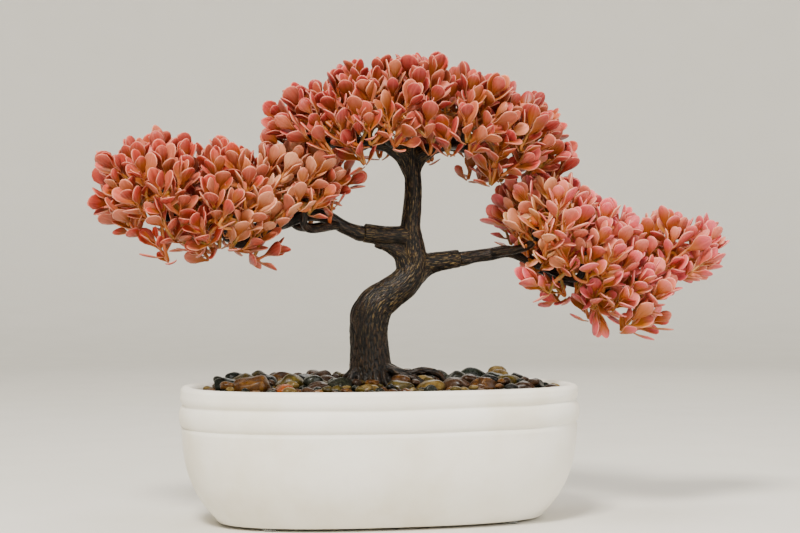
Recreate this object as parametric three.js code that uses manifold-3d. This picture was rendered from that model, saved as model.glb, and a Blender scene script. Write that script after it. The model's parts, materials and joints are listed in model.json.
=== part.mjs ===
// Artificial bonsai tree in an oval ceramic pot.
//
// Millimetres, +Z up. The pot's long side runs along X and the tree's broad side faces -Y.
// A brown moulded trunk stands in a cast filler block in the pot. Its stub sockets take four
// branches, and dark pegs on the wood take the one-piece foliage sprays. Polished pebbles lie
// on the filler, and four clear bumper pads stand under the pot.

import * as THREE from 'three';
import { mergeVertices } from 'three/addons/utils/BufferGeometryUtils.js';
import Module from 'manifold-3d';

const wasm = await Module();
wasm.setup();

// ---------------------------------------------------------------- driving dimensions

const FIT_GAP = 0.3; // clear space between pieces that touch

const POT = {
  halfLength: 110.4,
  halfDepth: 65.5,
  squareness: 2.5, // superellipse power of the plan: 2 is an ellipse
  rimHeight: 74.4,
  upperGroove: 65.9,
  lowerGroove: 53.9,
  footInset: 19.7, // how far the foot stands inside the rim's outline
  belly: 3.37, // power of the side's curve between foot and lower groove
  grooveDepth: 1.6,
  bandStep: 0.8, // how far the side stands inside the bands
  footChamfer: 1.5,
  lipChamfer: 2.4,
  wall: 8,
  floor: 8,
  segments: 40,
  bodySteps: 8,
};

const BUMPER = { radius: 4, height: 1.3, x: 66, y: 30, segments: 10 };

const FILLER = { top: 68, wallGap: 1.2, plugGap: 0.5 };

const SIDES = { trunk: 10, branch: 8, root: 5, plug: 6, peg: 5, hub: 6, stem: 3 };

const BRANCH_PLUG = { radius: 2.7, depth: 8 }; // main branches in the trunk's stubs
const CROWN_PLUG = { radius: 1.7, depth: 5 }; // crown branches in the fork's arms
const COLLAR_LENGTH = 2.5;

const TWIG = { radius: 2, thickest: 2.6, upright: 3 }; // upright: last stretch, in the peg's line
const PEG = { foot: 1.9, radius: 1.5, length: 10 };
const HUB = { inner: 2.05, outer: 3.4, height: 5, tier: 1.4, start: 4.2 }; // start: up the peg

const LEAVES = {
  spacing: 15.5, // between the feet of two rosettes
  candidates: 320, // places tried on each lobe
  buried: 0.9, // squared share of another lobe's half axes inside which no rosette grows
  upwardPull: 0.55, // how far a rosette turns from its lobe's normal towards the sky
  branchClearance: 8.5, // from a rosette's foot to the middle of any wood
  corridor: 13, // half width of the strip under the wood that stays free of rosettes
  hubClearance: 13, // level distance from a peg to a rosette's foot below it
  cupHeight: 11.5,
  cupRadius: 7,
  cupFloor: 6,
  stemRadius: 0.8,
  stemReach: 7, // level run of a stem that then turns down
  lowStem: 4, // a foot less than this far above the ring counts as low
};

const GOLDEN_ANGLE = Math.PI * (3 - Math.sqrt(5));

// ---------------------------------------------------------------- wood and foliage layout

// The trunk's centre line from the plug's lower end to the fork, as [x, y, z, radius].
const TRUNK_LINE = [
  [-5, 0, 32, 10], [-5, 0, 62, 12.5], [-5.3, 0, 72, 13], [-5.8, 0, 82, 11.8], [-6.4, 0, 94, 10.6],
  [-6.6, 0, 107, 10.4], [-3.2, 0, 117.5, 10.2], [5, 0, 124, 8.9], [13.5, 0, 130.5, 8.4],
  [18.6, 0, 138.5, 7.8], [18.2, 0, 148, 6.9], [16.8, 0, 161, 5.5], [17.8, 0, 172, 5.1],
  [18.3, 0, 184, 4.7], [17.3, 0, 197, 4.5], [16.8, 0, 206, 4.2],
];

// Stubs and fork arms, moulded with the trunk. The open end takes a branch's plug.
const LEFT_STUB = [[14, 0, 156, 5.6], [4, 0, 156, 5.3], [-9.5, 0, 157.6, 5.2]];
const RIGHT_STUB = [[20, 0, 140, 6], [32, 0, 141.8, 5.4], [44.5, 0, 143.6, 4.9]];
const LEFT_FORK = [[17, 0, 197, 3.8], [9, 0, 203.5, 3.5], [-3.5, 0, 207, 3.3]];
const RIGHT_FORK = [[17, 0, 197, 3.8], [24, 0, 202.3, 3.6], [32.5, 0, 205.2, 3.3]];

const ROOTS = [
  [[1, -7, 84, 2.6], [9, -13, 80.5, 2.4], [17, -18, 77, 2], [24, -21, 72.5, 1.4]],
  [[3, -4, 84, 2.6], [13, -8, 80.5, 2.2], [22, -10, 82, 2.1], [30, -12, 80, 1.8], [35, -14, 73.5, 1.4]],
  [[-5, -9, 82, 2.6], [-5, -13.5, 77.5, 2.2], [-4, -16.5, 71.5, 1.6]],
  [[-12, -4, 84, 2.4], [-17, -7, 80.5, 1.9], [-20.5, -9, 73.5, 1.5]],
  [[-11, 7, 83, 2.6], [-16, 14, 78, 2.1], [-20, 20, 71.5, 1.5]],
  [[3, 8, 83, 2.6], [9, 15, 78, 2.1], [14, 21, 71.5, 1.5]],
];

// Each branch: the arm of the trunk that takes its plug, the radius of its collar there, its
// centre line beyond the collar, and the hubs it carries. A hub is where a peg leaves the
// wood, the share of the centre line where its twig starts, and how far the peg leans to the
// front or back.
const BRANCHES = {
  left_branch: {
    plug: BRANCH_PLUG,
    arm: LEFT_STUB,
    collar: 4.4,
    line: [
      [-15.5, 0, 158.6, 3.9], [-22, 0, 161.4, 3.7], [-30, -1, 166, 3.6],
      [-42, -2, 167, 3.3], [-55, -2, 162, 2.9], [-70, -1, 160, 2.7], [-90, 0, 160, 2.4],
      [-112, 0, 166, 2.1],
    ],
    hubs: [
      { at: [-46, -20, 166], from: 0.34, lean: -0.45 },
      { at: [-46, 22, 168], from: 0.34, lean: 0.45 },
      { at: [-84, -24, 157], from: 0.64, lean: -0.5 },
      { at: [-84, 24, 161], from: 0.64, lean: 0.45 },
      { at: [-121, -16, 170], from: 1, lean: -0.4 },
      { at: [-121, 17, 172], from: 1, lean: 0.4 },
    ],
  },
  right_branch: {
    plug: BRANCH_PLUG,
    arm: RIGHT_STUB,
    collar: 4.1,
    line: [
      [51, 0, 144.3, 3.7], [62.5, -1, 146, 3.6], [72, -2, 147.5, 3.4],
      [82, -2, 144, 3.1], [92, -2, 137.5, 2.8], [108, -1, 130.5, 2.5], [126, 0, 127, 2.2],
    ],
    hubs: [
      { at: [82, -22, 158], from: 0.36, lean: -0.45 },
      { at: [86, 21, 158], from: 0.36, lean: 0.45 },
      { at: [108, -25, 138], from: 0.68, lean: -0.5 },
      { at: [116, 22, 143], from: 0.68, lean: 0.45 },
      { at: [140, -14, 124], from: 1, lean: -0.55 },
      { at: [158, 6, 141], from: 1, lean: 0.2 },
    ],
  },
  crown_left_branch: {
    plug: CROWN_PLUG,
    arm: LEFT_FORK,
    collar: 3,
    line: [[-10, 0, 206.6, 3.8], [-18, 0, 205, 4.2], [-25, 0, 206.8, 3.2]],
    hubs: [
      { at: [-42, -15, 212], from: 1, lean: -0.3 },
      { at: [-40, 17, 213], from: 1, lean: 0.3 },
    ],
  },
  crown_right_branch: {
    plug: CROWN_PLUG,
    arm: RIGHT_FORK,
    collar: 3,
    line: [
      [42, 0, 206, 3.1], [50, 0, 204.4, 3], [60, 0, 199, 2.8],
      [70, 0, 195.8, 2.5],
    ],
    hubs: [
      { at: [42, -22, 212], from: 0.25, lean: -0.35 },
      { at: [46, 21, 213], from: 0.25, lean: 0.35 },
      { at: [80, -14, 200], from: 1, lean: -0.3 },
      { at: [82, 17, 202], from: 1, lean: 0.35 },
    ],
  },
};

// Twigs moulded on the trunk's top, with the two middle pegs of the crown.
const TRUNK_TWIG_FOOT = [16.8, 0, 203, 3];
const TRUNK_HUBS = [
  { at: [-2, -21, 215], lean: -0.35 },
  { at: [6, 21, 217], lean: 0.35 },
];

// Each pad of foliage is a few overlapping ellipsoid lobes: centre, half axes and the lowest
// height on the lobe that still carries rosettes, as a share of its half height.
const PADS = {
  left: {
    lobes: [
      { centre: [-123, 0, 178], half: [27, 34, 23], lowest: -0.7 },
      { centre: [-88, 0, 172], half: [30, 42, 26], lowest: -0.75 },
      { centre: [-51, 0, 175], half: [26, 36, 22], lowest: -0.5 },
    ],
    branches: ['left_branch'],
  },
  crown: {
    lobes: [
      { centre: [-36, 0, 215], half: [26, 34, 21], lowest: -0.1 },
      { centre: [4, 0, 218], half: [32, 42, 28], lowest: -0.05 },
      { centre: [44, 0, 214], half: [32, 42, 26], lowest: -0.15 },
      { centre: [75, 0, 207], half: [24, 34, 24], lowest: -0.1 },
      { centre: [88, 4, 196], half: [14, 24, 13], lowest: -0.4 },
    ],
    branches: ['crown_left_branch', 'trunk', 'crown_right_branch'],
  },
  right: {
    lobes: [
      { centre: [92, -4, 160], half: [22, 36, 25], lowest: -0.55 },
      { centre: [118, 0, 148], half: [28, 38, 28], lowest: -0.85 },
      { centre: [136, -8, 124], half: [22, 24, 15], lowest: -0.9 },
      { centre: [172, 0, 146], half: [22, 24, 14], lowest: -0.8 },
    ],
    branches: ['right_branch'],
  },
};

// Planes that keep the pads apart where one hangs over another: a point and the way up.
const CROWN_OVER_LEFT = { point: [-40, 0, 208.5], up: [0, 0, 1] };
const CROWN_OVER_RIGHT = { point: [90, 0, 187.5], up: [0, 0.25, 1] };

// How stones are lowered into place: contact is the gap kept between their round outlines, and
// their facets lie inside those. No two touch with their middles `farthest` apart.
const SETTLING = { step: 0.1, slide: 5, farthest: 26, contact: 0.1 };

// Pebbles in the order they are laid: [x, y, length, width, thickness, turn, stone].
const PEBBLES = [
  [-86, -5, 16, 13, 11, 20, 'bottle_green'], [-74, -22, 22, 15, 13, -12, 'amber'],
  [-58, -31, 12, 10, 9, 40, 'orange'], [-62, 12, 17, 14, 12, 75, 'black'],
  [-52, -8, 18, 15, 13, 15, 'olive'], [-40, -28, 15, 12, 10, -30, 'red_brown'],
  [-41, 9, 15, 12, 12, 50, 'black'], [-28, -24, 17, 14, 12, 10, 'slate'],
  [-30, 26, 18, 14, 13, -25, 'red_brown'], [-14, -33, 15, 12, 9, 35, 'sand'],
  [4, -31, 16, 12, 10, -15, 'olive'], [18, -33, 17, 13, 10, 20, 'sand'],
  [25, 6, 15, 13, 11, 60, 'sand'], [36, -27, 17, 13, 11, -20, 'red_brown'],
  [44, 4, 16, 13, 13, 30, 'slate'], [53, -24, 17, 13, 11, 15, 'amber'],
  [58, 17, 18, 14, 14, -10, 'bottle_green'], [69, -9, 18, 14, 12, 35, 'olive'],
  [71, -30, 16, 13, 9, -25, 'red_brown'], [80, 12, 13, 11, 11, 15, 'black'],
  [84, -15, 12, 10, 10, 70, 'black'], [-72, 22, 18, 14, 12, 15, 'olive'],
  [-50, 33, 17, 13, 12, -35, 'amber'], [-6, 33, 18, 14, 12, 10, 'bottle_green'],
  [20, 33, 17, 14, 13, 50, 'amber'], [40, 30, 16, 13, 12, -20, 'slate'],
  [-69.5, -5, 14, 11, 10, 55, 'amber'], [-36, -9, 15, 11, 10, 30, 'olive'],
  [52, -6, 16, 12, 10, -30, 'bottle_green'],
];

const COLOURS = {
  ceramic: 0xeeebe4, clearPad: 0xe8eaea, cement: 0x52483c, bark: 0x3a2b24, branchBark: 0x332722,
  pinkFoliage: 0xd9747a, coralFoliage: 0xd0604f, roseFoliage: 0xe08587,
  bottle_green: 0x2d382f, amber: 0x7d5429, orange: 0xb06a2c, black: 0x1b1c1e, olive: 0x6b6436,
  red_brown: 0x5e3426, slate: 0x3c4442, sand: 0xa38a62,
};

// ---------------------------------------------------------------- small tools

const UP = new THREE.Vector3(0, 0, 1);
const vec = (p) => new THREE.Vector3(p[0], p[1], p[2]);
const turnTo = (direction) => new THREE.Quaternion().setFromUnitVectors(UP, direction);

// A closed body from rings of equal point count: neighbours are joined, and each end is
// fanned to its middle, or to a given tip.
function skin(rings, lastTip) {
  const count = rings[0].length;
  const points = rings.flat();
  const faces = [];
  for (let row = 0; row < rings.length - 1; row++) {
    for (let i = 0; i < count; i++) {
      const a = row * count + i;
      const b = row * count + (i + 1) % count;
      faces.push(a, b, b + count, a, b + count, a + count);
    }
  }
  const middleOf = (ring) => ring.reduce((s, p) => s.add(p), new THREE.Vector3()).divideScalar(count);
  const lastRing = rings[rings.length - 1];
  const lastRow = (rings.length - 1) * count;
  const first = points.push(middleOf(rings[0])) - 1;
  const last = points.push(lastTip ?? middleOf(lastRing)) - 1;
  for (let i = 0; i < count; i++) {
    const next = (i + 1) % count;
    faces.push(first, next, i, last, lastRow + i, lastRow + next);
  }
  const geometry = new THREE.BufferGeometry().setFromPoints(points);
  geometry.setIndex(faces);
  return geometry;
}

// A round rod of changing thickness through stations of [x, y, z, radius].
function rod(stations, sides, grow = 0, lastTip = undefined) {
  const curve = new THREE.CatmullRomCurve3(stations.map(vec), false, 'centripetal');
  const spans = stations.length - 1;
  const side = new THREE.Vector3(0, 1, 0);
  if (Math.abs(curve.getTangent(0).y) > 0.8) side.set(1, 0, 0);
  const rings = stations.map(([, , , radius], step) => {
    const centre = curve.getPoint(step / spans);
    const ahead = curve.getTangent(step / spans);
    side.addScaledVector(ahead, -side.dot(ahead)).normalize();
    const other = new THREE.Vector3().crossVectors(ahead, side);
    return Array.from({ length: sides }, (_, i) => {
      const turn = (i / sides) * 2 * Math.PI;
      return centre.clone()
        .addScaledVector(side, Math.cos(turn) * (radius + grow))
        .addScaledVector(other, Math.sin(turn) * (radius + grow));
    });
  });
  return skin(rings, lastTip);
}

// A turned body from [radius, height] points, standing along Z.
function lathe(profile, sides) {
  const points = profile.map(([radius, height]) => new THREE.Vector2(radius, height));
  return new THREE.LatheGeometry(points, sides).rotateX(Math.PI / 2);
}

function solid(geometry) {
  const bare = geometry.clone();
  bare.deleteAttribute('normal');
  bare.deleteAttribute('uv');
  const merged = mergeVertices(bare, 1e-4);
  return new wasm.Manifold(new wasm.Mesh({
    numProp: 3,
    vertProperties: new Float32Array(merged.attributes.position.array),
    triVerts: new Uint32Array(merged.index.array),
  }));
}

function shell(body) {
  const mesh = body.getMesh();
  const geometry = new THREE.BufferGeometry();
  geometry.setAttribute('position', new THREE.BufferAttribute(mesh.vertProperties, 3));
  geometry.setIndex(new THREE.BufferAttribute(mesh.triVerts, 1));
  return geometry;
}

const join = (bodies) => bodies.reduce((whole, body) => whole.add(body));

const object = new THREE.Group();

function piece(name, geometry, colour, roughness) {
  geometry.computeVertexNormals();
  const material = new THREE.MeshStandardMaterial({ color: colour, roughness, metalness: 0 });
  const mesh = new THREE.Mesh(geometry, material);
  mesh.name = name;
  object.add(mesh);
  return mesh;
}

// ---------------------------------------------------------------- pot, bumpers and filler

// One level ring of the pot's plan, drawn in by an inset.
function potRing(inset, z) {
  const power = 2 / POT.squareness;
  const bend = (v) => Math.sign(v) * Math.abs(v) ** power;
  return Array.from({ length: POT.segments }, (_, i) => {
    const turn = (i / POT.segments) * 2 * Math.PI;
    return new THREE.Vector3(
      (POT.halfLength - inset) * bend(Math.cos(turn)),
      (POT.halfDepth - inset) * bend(Math.sin(turn)),
      z,
    );
  });
}

const potFoot = BUMPER.height + FIT_GAP;

function sideInset(z) {
  const share = THREE.MathUtils.clamp((POT.upperGroove - z) / (POT.upperGroove - potFoot), 0, 1);
  return POT.footInset * share ** POT.belly;
}

// Heights of the inside wall's rings, from under the pebbles down to the floor.
function insideHeights() {
  const floor = potFoot + POT.floor;
  return [1, 0.45, 0.12, 0].map((share) => THREE.MathUtils.lerp(floor, FILLER.top - 6, share));
}

// The bulge of one rolled band between two heights, as [inset, z] points.
function roll(low, high, steps) {
  return Array.from({ length: steps }, (_, i) => {
    const share = (i + 0.5) / steps;
    const bulge = Math.sqrt(Math.sin(share * Math.PI));
    return [POT.grooveDepth * (1 - bulge), THREE.MathUtils.lerp(low, high, share)];
  });
}

function potGeometry() {
  const { footInset, footChamfer, lowerGroove, upperGroove, rimHeight, wall, lipChamfer } = POT;
  const outline = [[footInset + footChamfer, potFoot], [footInset, potFoot + 1]];
  for (let i = 1; i < POT.bodySteps; i++) {
    const z = THREE.MathUtils.lerp(potFoot, lowerGroove, i / POT.bodySteps);
    outline.push([sideInset(z) + POT.bandStep, z]);
  }
  outline.push([POT.grooveDepth, lowerGroove], ...roll(lowerGroove, upperGroove, 4));
  outline.push([POT.grooveDepth, upperGroove], ...roll(upperGroove, rimHeight, 3));
  outline.push([lipChamfer, rimHeight], [wall - lipChamfer, rimHeight], [wall, rimHeight - lipChamfer]);
  for (const z of insideHeights()) {
    outline.push([sideInset(z) + wall, z]);
  }
  return skin(outline.map(([inset, z]) => potRing(inset, z)));
}

function bumperGeometry() {
  const { radius, height, segments } = BUMPER;
  const shoulder = [radius * 0.85, height * 0.7];
  return lathe([[0, 0], [radius, 0], shoulder, [radius * 0.5, height], [0, height]], segments);
}

// The cast block fills the pot up to under the pebbles and holds the trunk's plug.
function fillerBody() {
  const heights = [FILLER.top, ...insideHeights()].reverse();
  heights[0] += FIT_GAP;
  const rings = heights.map((z) => potRing(sideInset(z) + POT.wall + FILLER.wallGap, z));
  const plugHole = TRUNK_LINE.slice(0, 4).map(([x, y, z, r], i) => [x, y, i ? z : z - 1, r]);
  return solid(skin(rings)).subtract(solid(rod(plugHole, SIDES.trunk, FILLER.plugGap)));
}

// ---------------------------------------------------------------- wood

const hubUp = (hub) => new THREE.Vector3(0, hub.lean, 1).normalize();

function between(from, to, share) {
  return from.map((value, i) => THREE.MathUtils.lerp(value, to[i], share));
}

function lineAt(line, share) {
  const place = share * (line.length - 1);
  const low = Math.min(Math.floor(place), line.length - 2);
  return between(line[low], line[low + 1], place - low);
}

// A branch's whole centre line. It starts square on the open end of its arm, a fit gap away.
function branchLine(name) {
  const { arm, collar, line } = BRANCHES[name];
  const end = vec(arm[arm.length - 1]);
  const ahead = end.clone().sub(vec(arm[arm.length - 2])).normalize();
  const start = end.clone().addScaledVector(ahead, FIT_GAP + 0.05);
  const collarEnd = end.clone().addScaledVector(ahead, COLLAR_LENGTH);
  return [[...start.toArray(), collar], [...collarEnd.toArray(), collar], ...line];
}

// The centre line of the twig from the wood at `foot` to the place where a peg starts.
function twigLine(foot, hub) {
  const [x, y, z, radius] = foot;
  const below = vec(hub.at).addScaledVector(hubUp(hub), -TWIG.upright).toArray();
  const start = [x, y, z, Math.min(radius * 0.9, TWIG.thickest)];
  return [start, [...below, TWIG.radius], [...hub.at, PEG.foot]];
}

function peg(hub) {
  const top = vec(hub.at).addScaledVector(hubUp(hub), PEG.length).toArray();
  return rod([[...hub.at, PEG.foot], [...top, PEG.radius]], SIDES.peg);
}

// A plug or a socket hole: a straight pin from a line's first point, away from its second.
function plugPin(line, plug, grow, depth) {
  const start = vec(line[0]);
  const inward = start.clone().sub(vec(line[1])).normalize();
  const near = start.clone().addScaledVector(inward, -1.5).toArray();
  const far = start.clone().addScaledVector(inward, depth).toArray();
  return rod([[...near, plug.radius], [...far, plug.radius]], SIDES.plug, grow);
}

function twigsOf(name) {
  if (name === 'trunk') return TRUNK_HUBS.map((hub) => twigLine(TRUNK_TWIG_FOOT, hub));
  const line = branchLine(name);
  return BRANCHES[name].hubs.map((hub) => twigLine(lineAt(line, hub.from), hub));
}

function branchBody(name) {
  const { plug, hubs } = BRANCHES[name];
  const line = branchLine(name);
  return join([
    solid(rod(line, SIDES.branch)),
    solid(plugPin(line, plug, 0, plug.depth)),
    ...twigsOf(name).map((twig) => solid(rod(twig, SIDES.root))),
    ...hubs.map((hub) => solid(peg(hub))),
  ]);
}

function trunkBody() {
  const arms = [LEFT_STUB, RIGHT_STUB, LEFT_FORK, RIGHT_FORK];
  const wood = join([
    solid(rod(TRUNK_LINE, SIDES.trunk)),
    ...arms.map((arm) => solid(rod(arm, SIDES.branch))),
    ...ROOTS.map((root) => solid(rod(root, SIDES.root))),
    ...twigsOf('trunk').map((twig) => solid(rod(twig, SIDES.root))),
    ...TRUNK_HUBS.map((hub) => solid(peg(hub))),
  ]);
  return Object.entries(BRANCHES).reduce((body, [name, { plug }]) => {
    return body.subtract(solid(plugPin(branchLine(name), plug, FIT_GAP, plug.depth + FIT_GAP)));
  }, wood);
}

// ---------------------------------------------------------------- foliage

function hubsOf(pad) {
  return pad.branches.flatMap((name) => (name === 'trunk' ? TRUNK_HUBS : BRANCHES[name].hubs));
}

function woodLinesOf(pad) {
  return pad.branches.flatMap((name) => {
    return name === 'trunk' ? twigsOf(name) : [branchLine(name), ...twigsOf(name)];
  });
}

const insideLobe = (lobe, point) => {
  const away = point.clone().sub(vec(lobe.centre)).divide(vec(lobe.half));
  return away.lengthSq() < LEAVES.buried;
};

function distanceToLines(point, lines) {
  const nearest = new THREE.Vector3();
  return Math.min(...lines.flatMap((line) => line.slice(1).map((end, i) => {
    new THREE.Line3(vec(line[i]), vec(end)).closestPointToPoint(point, true, nearest);
    return nearest.distanceTo(point);
  })));
}

// The rosettes of one pad. Places are tried on each lobe along a golden-angle spiral from the
// top down, and one is kept where it stands clear of other lobes, rosettes and wood.
function rosettesOf(pad) {
  const lines = woodLinesOf(pad);
  const hubs = hubsOf(pad);
  const kept = [];
  for (const lobe of pad.lobes) {
    for (let i = 0; i < LEAVES.candidates; i++) {
      const height = 1 - (1 - lobe.lowest) * (i + 0.5) / LEAVES.candidates;
      const turn = i * GOLDEN_ANGLE;
      const level = Math.sqrt(1 - height * height);
      const outward = new THREE.Vector3(level * Math.cos(turn), level * Math.sin(turn), height);
      const foot = outward.clone().multiply(vec(lobe.half)).add(vec(lobe.centre));
      const crowded = kept.some((rosette) => rosette.foot.distanceTo(foot) < LEAVES.spacing);
      const buried = pad.lobes.some((other) => other !== lobe && insideLobe(other, foot));
      const underWood = height < -0.1 && Math.abs(foot.y) < LEAVES.corridor;
      const underHub = hubs.some(({ at: [x, y, z] }) => {
        return foot.z < z + 3 && Math.hypot(foot.x - x, foot.y - y) < LEAVES.hubClearance;
      });
      const onWood = distanceToLines(foot, lines) < LEAVES.branchClearance;
      if (crowded || buried || underWood || underHub || onWood) continue;
      const axis = outward.divide(vec(lobe.half)).normalize();
      axis.z += LEAVES.upwardPull;
      kept.push({ foot, axis: axis.normalize() });
    }
  }
  return kept;
}

// The ring that is pushed over a peg.
function hubRing(hub) {
  const { inner, outer, height, start } = HUB;
  const profile = [[inner, 0], [outer, 0], [outer, height], [inner, height], [inner, 0]];
  const place = vec(hub.at).addScaledVector(hubUp(hub), start);
  return lathe(profile, SIDES.hub).applyQuaternion(turnTo(hubUp(hub))).translate(...place);
}

// A stand-in for one stem and its rosette: from the side of the ring to the rosette's foot,
// then leaf tips round a hollow cup. Stems leave the ring in three tiers, and a stem that ends
// low first runs out level.
function leafyStem(hub, { foot, axis }, number) {
  const up = hubUp(hub);
  const tier = (number % 3 - 1) * HUB.tier;
  const middle = vec(hub.at).addScaledVector(up, HUB.start + HUB.height / 2 + tier);
  const aim = foot.clone().sub(middle);
  const out = aim.clone().addScaledVector(up, -aim.dot(up)).normalize();
  const line = [middle.clone().addScaledVector(out, HUB.outer - 0.5)];
  if (aim.z < LEAVES.lowStem) line.push(middle.clone().addScaledVector(out, LEAVES.stemReach));
  line.push(foot);
  const stations = line.map((point) => [...point.toArray(), LEAVES.stemRadius]);
  const mouth = foot.clone().addScaledVector(axis, LEAVES.cupHeight);
  stations.push([...mouth.toArray(), LEAVES.cupRadius]);
  return rod(stations, SIDES.stem, 0, foot.clone().addScaledVector(axis, LEAVES.cupFloor));
}

// What lies on the `up` side of a plane, with half the fit gap kept clear.
function keepAbove(body, point, up) {
  const size = 600; // larger than the object
  const block = new THREE.BoxGeometry(size, size, size).translate(0, 0, (size + FIT_GAP) / 2);
  return body.intersect(solid(block.applyQuaternion(turnTo(up)).translate(...point)));
}

function sprayBody(hub, rosettes, neighbours, planes, clearance) {
  let body = join([
    solid(hubRing(hub)),
    ...rosettes.map((rosette, i) => solid(leafyStem(hub, rosette, i))),
  ]);
  for (const other of neighbours) {
    const up = vec(hub.at).sub(vec(other.at));
    const middle = vec(hub.at).lerp(vec(other.at), 0.5);
    body = keepAbove(body, middle, up.normalize());
  }
  for (const { point, up, side } of planes) {
    body = keepAbove(body, vec(point), vec(up).normalize().multiplyScalar(side));
  }
  return body.subtract(clearance);
}

// The parting planes that touch the spray on a hub: side -1 keeps it under the plane.
function planesOf(padName, hub) {
  if (padName === 'left') return [{ ...CROWN_OVER_LEFT, side: -1 }];
  if (padName === 'right') return [{ ...CROWN_OVER_RIGHT, side: -1 }];
  return [{ ...(hub.at[0] < TRUNK_TWIG_FOOT[0] ? CROWN_OVER_LEFT : CROWN_OVER_RIGHT), side: 1 }];
}

function spraysOf(padName) {
  const pad = PADS[padName];
  const hubs = hubsOf(pad);
  const wood = woodLinesOf(pad).map((line) => solid(rod(line, SIDES.root, 2 * FIT_GAP)));
  const clearance = join(wood);
  const shares = hubs.map(() => []);
  for (const rosette of rosettesOf(pad)) {
    const distances = hubs.map((hub) => rosette.foot.distanceTo(vec(hub.at)));
    shares[distances.indexOf(Math.min(...distances))].push(rosette);
  }
  return hubs.map((hub, i) => {
    const neighbours = hubs.filter((other) => other !== hub);
    return sprayBody(hub, shares[i], neighbours, planesOf(padName, hub), clearance);
  });
}

// ---------------------------------------------------------------- pebbles

// How far an ellipsoid reaches from its centre along a direction, and the point it reaches to.
function reachOf(stone, direction) {
  const local = direction.clone().applyQuaternion(stone.turn.clone().invert());
  const scaled = local.clone().multiply(stone.half);
  const reach = scaled.length();
  const point = scaled.multiply(stone.half).divideScalar(reach).applyQuaternion(stone.turn);
  return { reach, point };
}

// The clear distance between two ellipsoids, found by turning the plane that parts them.
function clearBetween(a, b) {
  const apart = b.centre.clone().sub(a.centre);
  const normal = apart.clone().normalize();
  let best = -Infinity;
  for (let turn = 0; turn < 24; turn++) {
    const fromA = reachOf(a, normal);
    const fromB = reachOf(b, normal.clone().negate());
    best = Math.max(best, apart.dot(normal) - fromA.reach - fromB.reach);
    const gap = apart.clone().sub(fromA.point).add(fromB.point);
    normal.addScaledVector(gap, 0.6 / apart.length()).normalize();
  }
  return best;
}

function touching(stone, laid, gap) {
  return laid.filter((other) => {
    const near = other.centre.distanceTo(stone.centre) < SETTLING.farthest;
    return near && clearBetween(other, stone) < gap;
  });
}

// A stone is lowered until it lies on the filler. Where it meets stones laid before it, it
// slides off them a little way, and stays where it can't.
function settle(stone, laid) {
  const { step, slide, farthest, contact } = SETTLING;
  const floor = FILLER.top + FIT_GAP + reachOf(stone, UP).reach;
  let slidesLeft = slide / step;
  stone.centre.z = floor + farthest;
  while (stone.centre.z > floor) {
    const met = touching(stone, laid, contact + step);
    if (met.length === 0) {
      stone.centre.z -= step;
      continue;
    }
    const push = new THREE.Vector3();
    for (const other of met) push.add(stone.centre).sub(other.centre);
    push.setZ(0).setLength(step);
    stone.centre.add(push);
    if (slidesLeft-- < 1 || touching(stone, laid, contact).length > 0) {
      stone.centre.sub(push);
      return;
    }
  }
}

function pebbleGeometry(stone, number) {
  const bare = new THREE.IcosahedronGeometry(1, 1).deleteAttribute('normal').deleteAttribute('uv');
  const ball = mergeVertices(bare);
  const place = ball.attributes.position;
  for (let i = 0; i < place.count; i++) {
    const point = new THREE.Vector3().fromBufferAttribute(place, i);
    const dent = 1 - 0.05 * Math.sin(3 * point.x + number) * Math.cos(2 * point.y - number);
    point.multiplyScalar(dent).multiply(stone.half).applyQuaternion(stone.turn).add(stone.centre);
    place.setXYZ(i, point.x, point.y, point.z);
  }
  return ball;
}

// ---------------------------------------------------------------- the object

piece('pot', potGeometry(), COLOURS.ceramic, 0.75);
for (const [i, [sx, sy]] of [[-1, -1], [1, -1], [-1, 1], [1, 1]].entries()) {
  const bumper = piece(`bumper_pad_${i + 1}`, bumperGeometry(), COLOURS.clearPad, 0.2);
  bumper.position.set(sx * BUMPER.x, sy * BUMPER.y, 0);
}
piece('filler_block', shell(fillerBody()), COLOURS.cement, 0.9);
piece('trunk', shell(trunkBody()), COLOURS.bark, 0.55);
for (const name of Object.keys(BRANCHES)) {
  piece(name, shell(branchBody(name)), COLOURS.branchBark, 0.5);
}

const padColours = {
  left: COLOURS.coralFoliage, crown: COLOURS.pinkFoliage, right: COLOURS.roseFoliage,
};
for (const padName of Object.keys(PADS)) {
  spraysOf(padName).forEach((body, i) => {
    piece(`${padName}_spray_${i + 1}`, shell(body), padColours[padName], 0.45);
  });
}

const laidStones = [];
for (const [i, [x, y, length, width, thickness, degrees, stoneName]] of PEBBLES.entries()) {
  const heading = THREE.MathUtils.degToRad(degrees);
  const tilt = new THREE.Euler(0.1 * Math.sin(i), 0.12 * Math.cos(2 * i), heading, 'ZYX');
  const stone = {
    centre: new THREE.Vector3(x, y, 0),
    half: new THREE.Vector3(length / 2, width / 2, thickness / 2),
    turn: new THREE.Quaternion().setFromEuler(tilt),
  };
  settle(stone, laidStones);
  laidStones.push(stone);
  piece(`pebble_${i + 1}`, pebbleGeometry(stone, i), COLOURS[stoneName], 0.2);
}

// The origin is the middle of the whole object's outline, on the surface it stands on.
const middle = new THREE.Box3().setFromObject(object).getCenter(new THREE.Vector3());
object.position.set(-middle.x, -middle.y, 0);

export default object;
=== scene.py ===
# Artificial bonsai tree in an oval ceramic pot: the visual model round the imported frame.
#
# The tables below give lengths in millimetres from the middle of the pot, with +Z up from the
# surface that it stands on. metres() turns them into the frame's own metres.

import json
import math
import random

import bmesh
import bpy
import numpy as np
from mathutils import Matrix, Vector, noise
from mathutils.bvhtree import BVHTree


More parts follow.
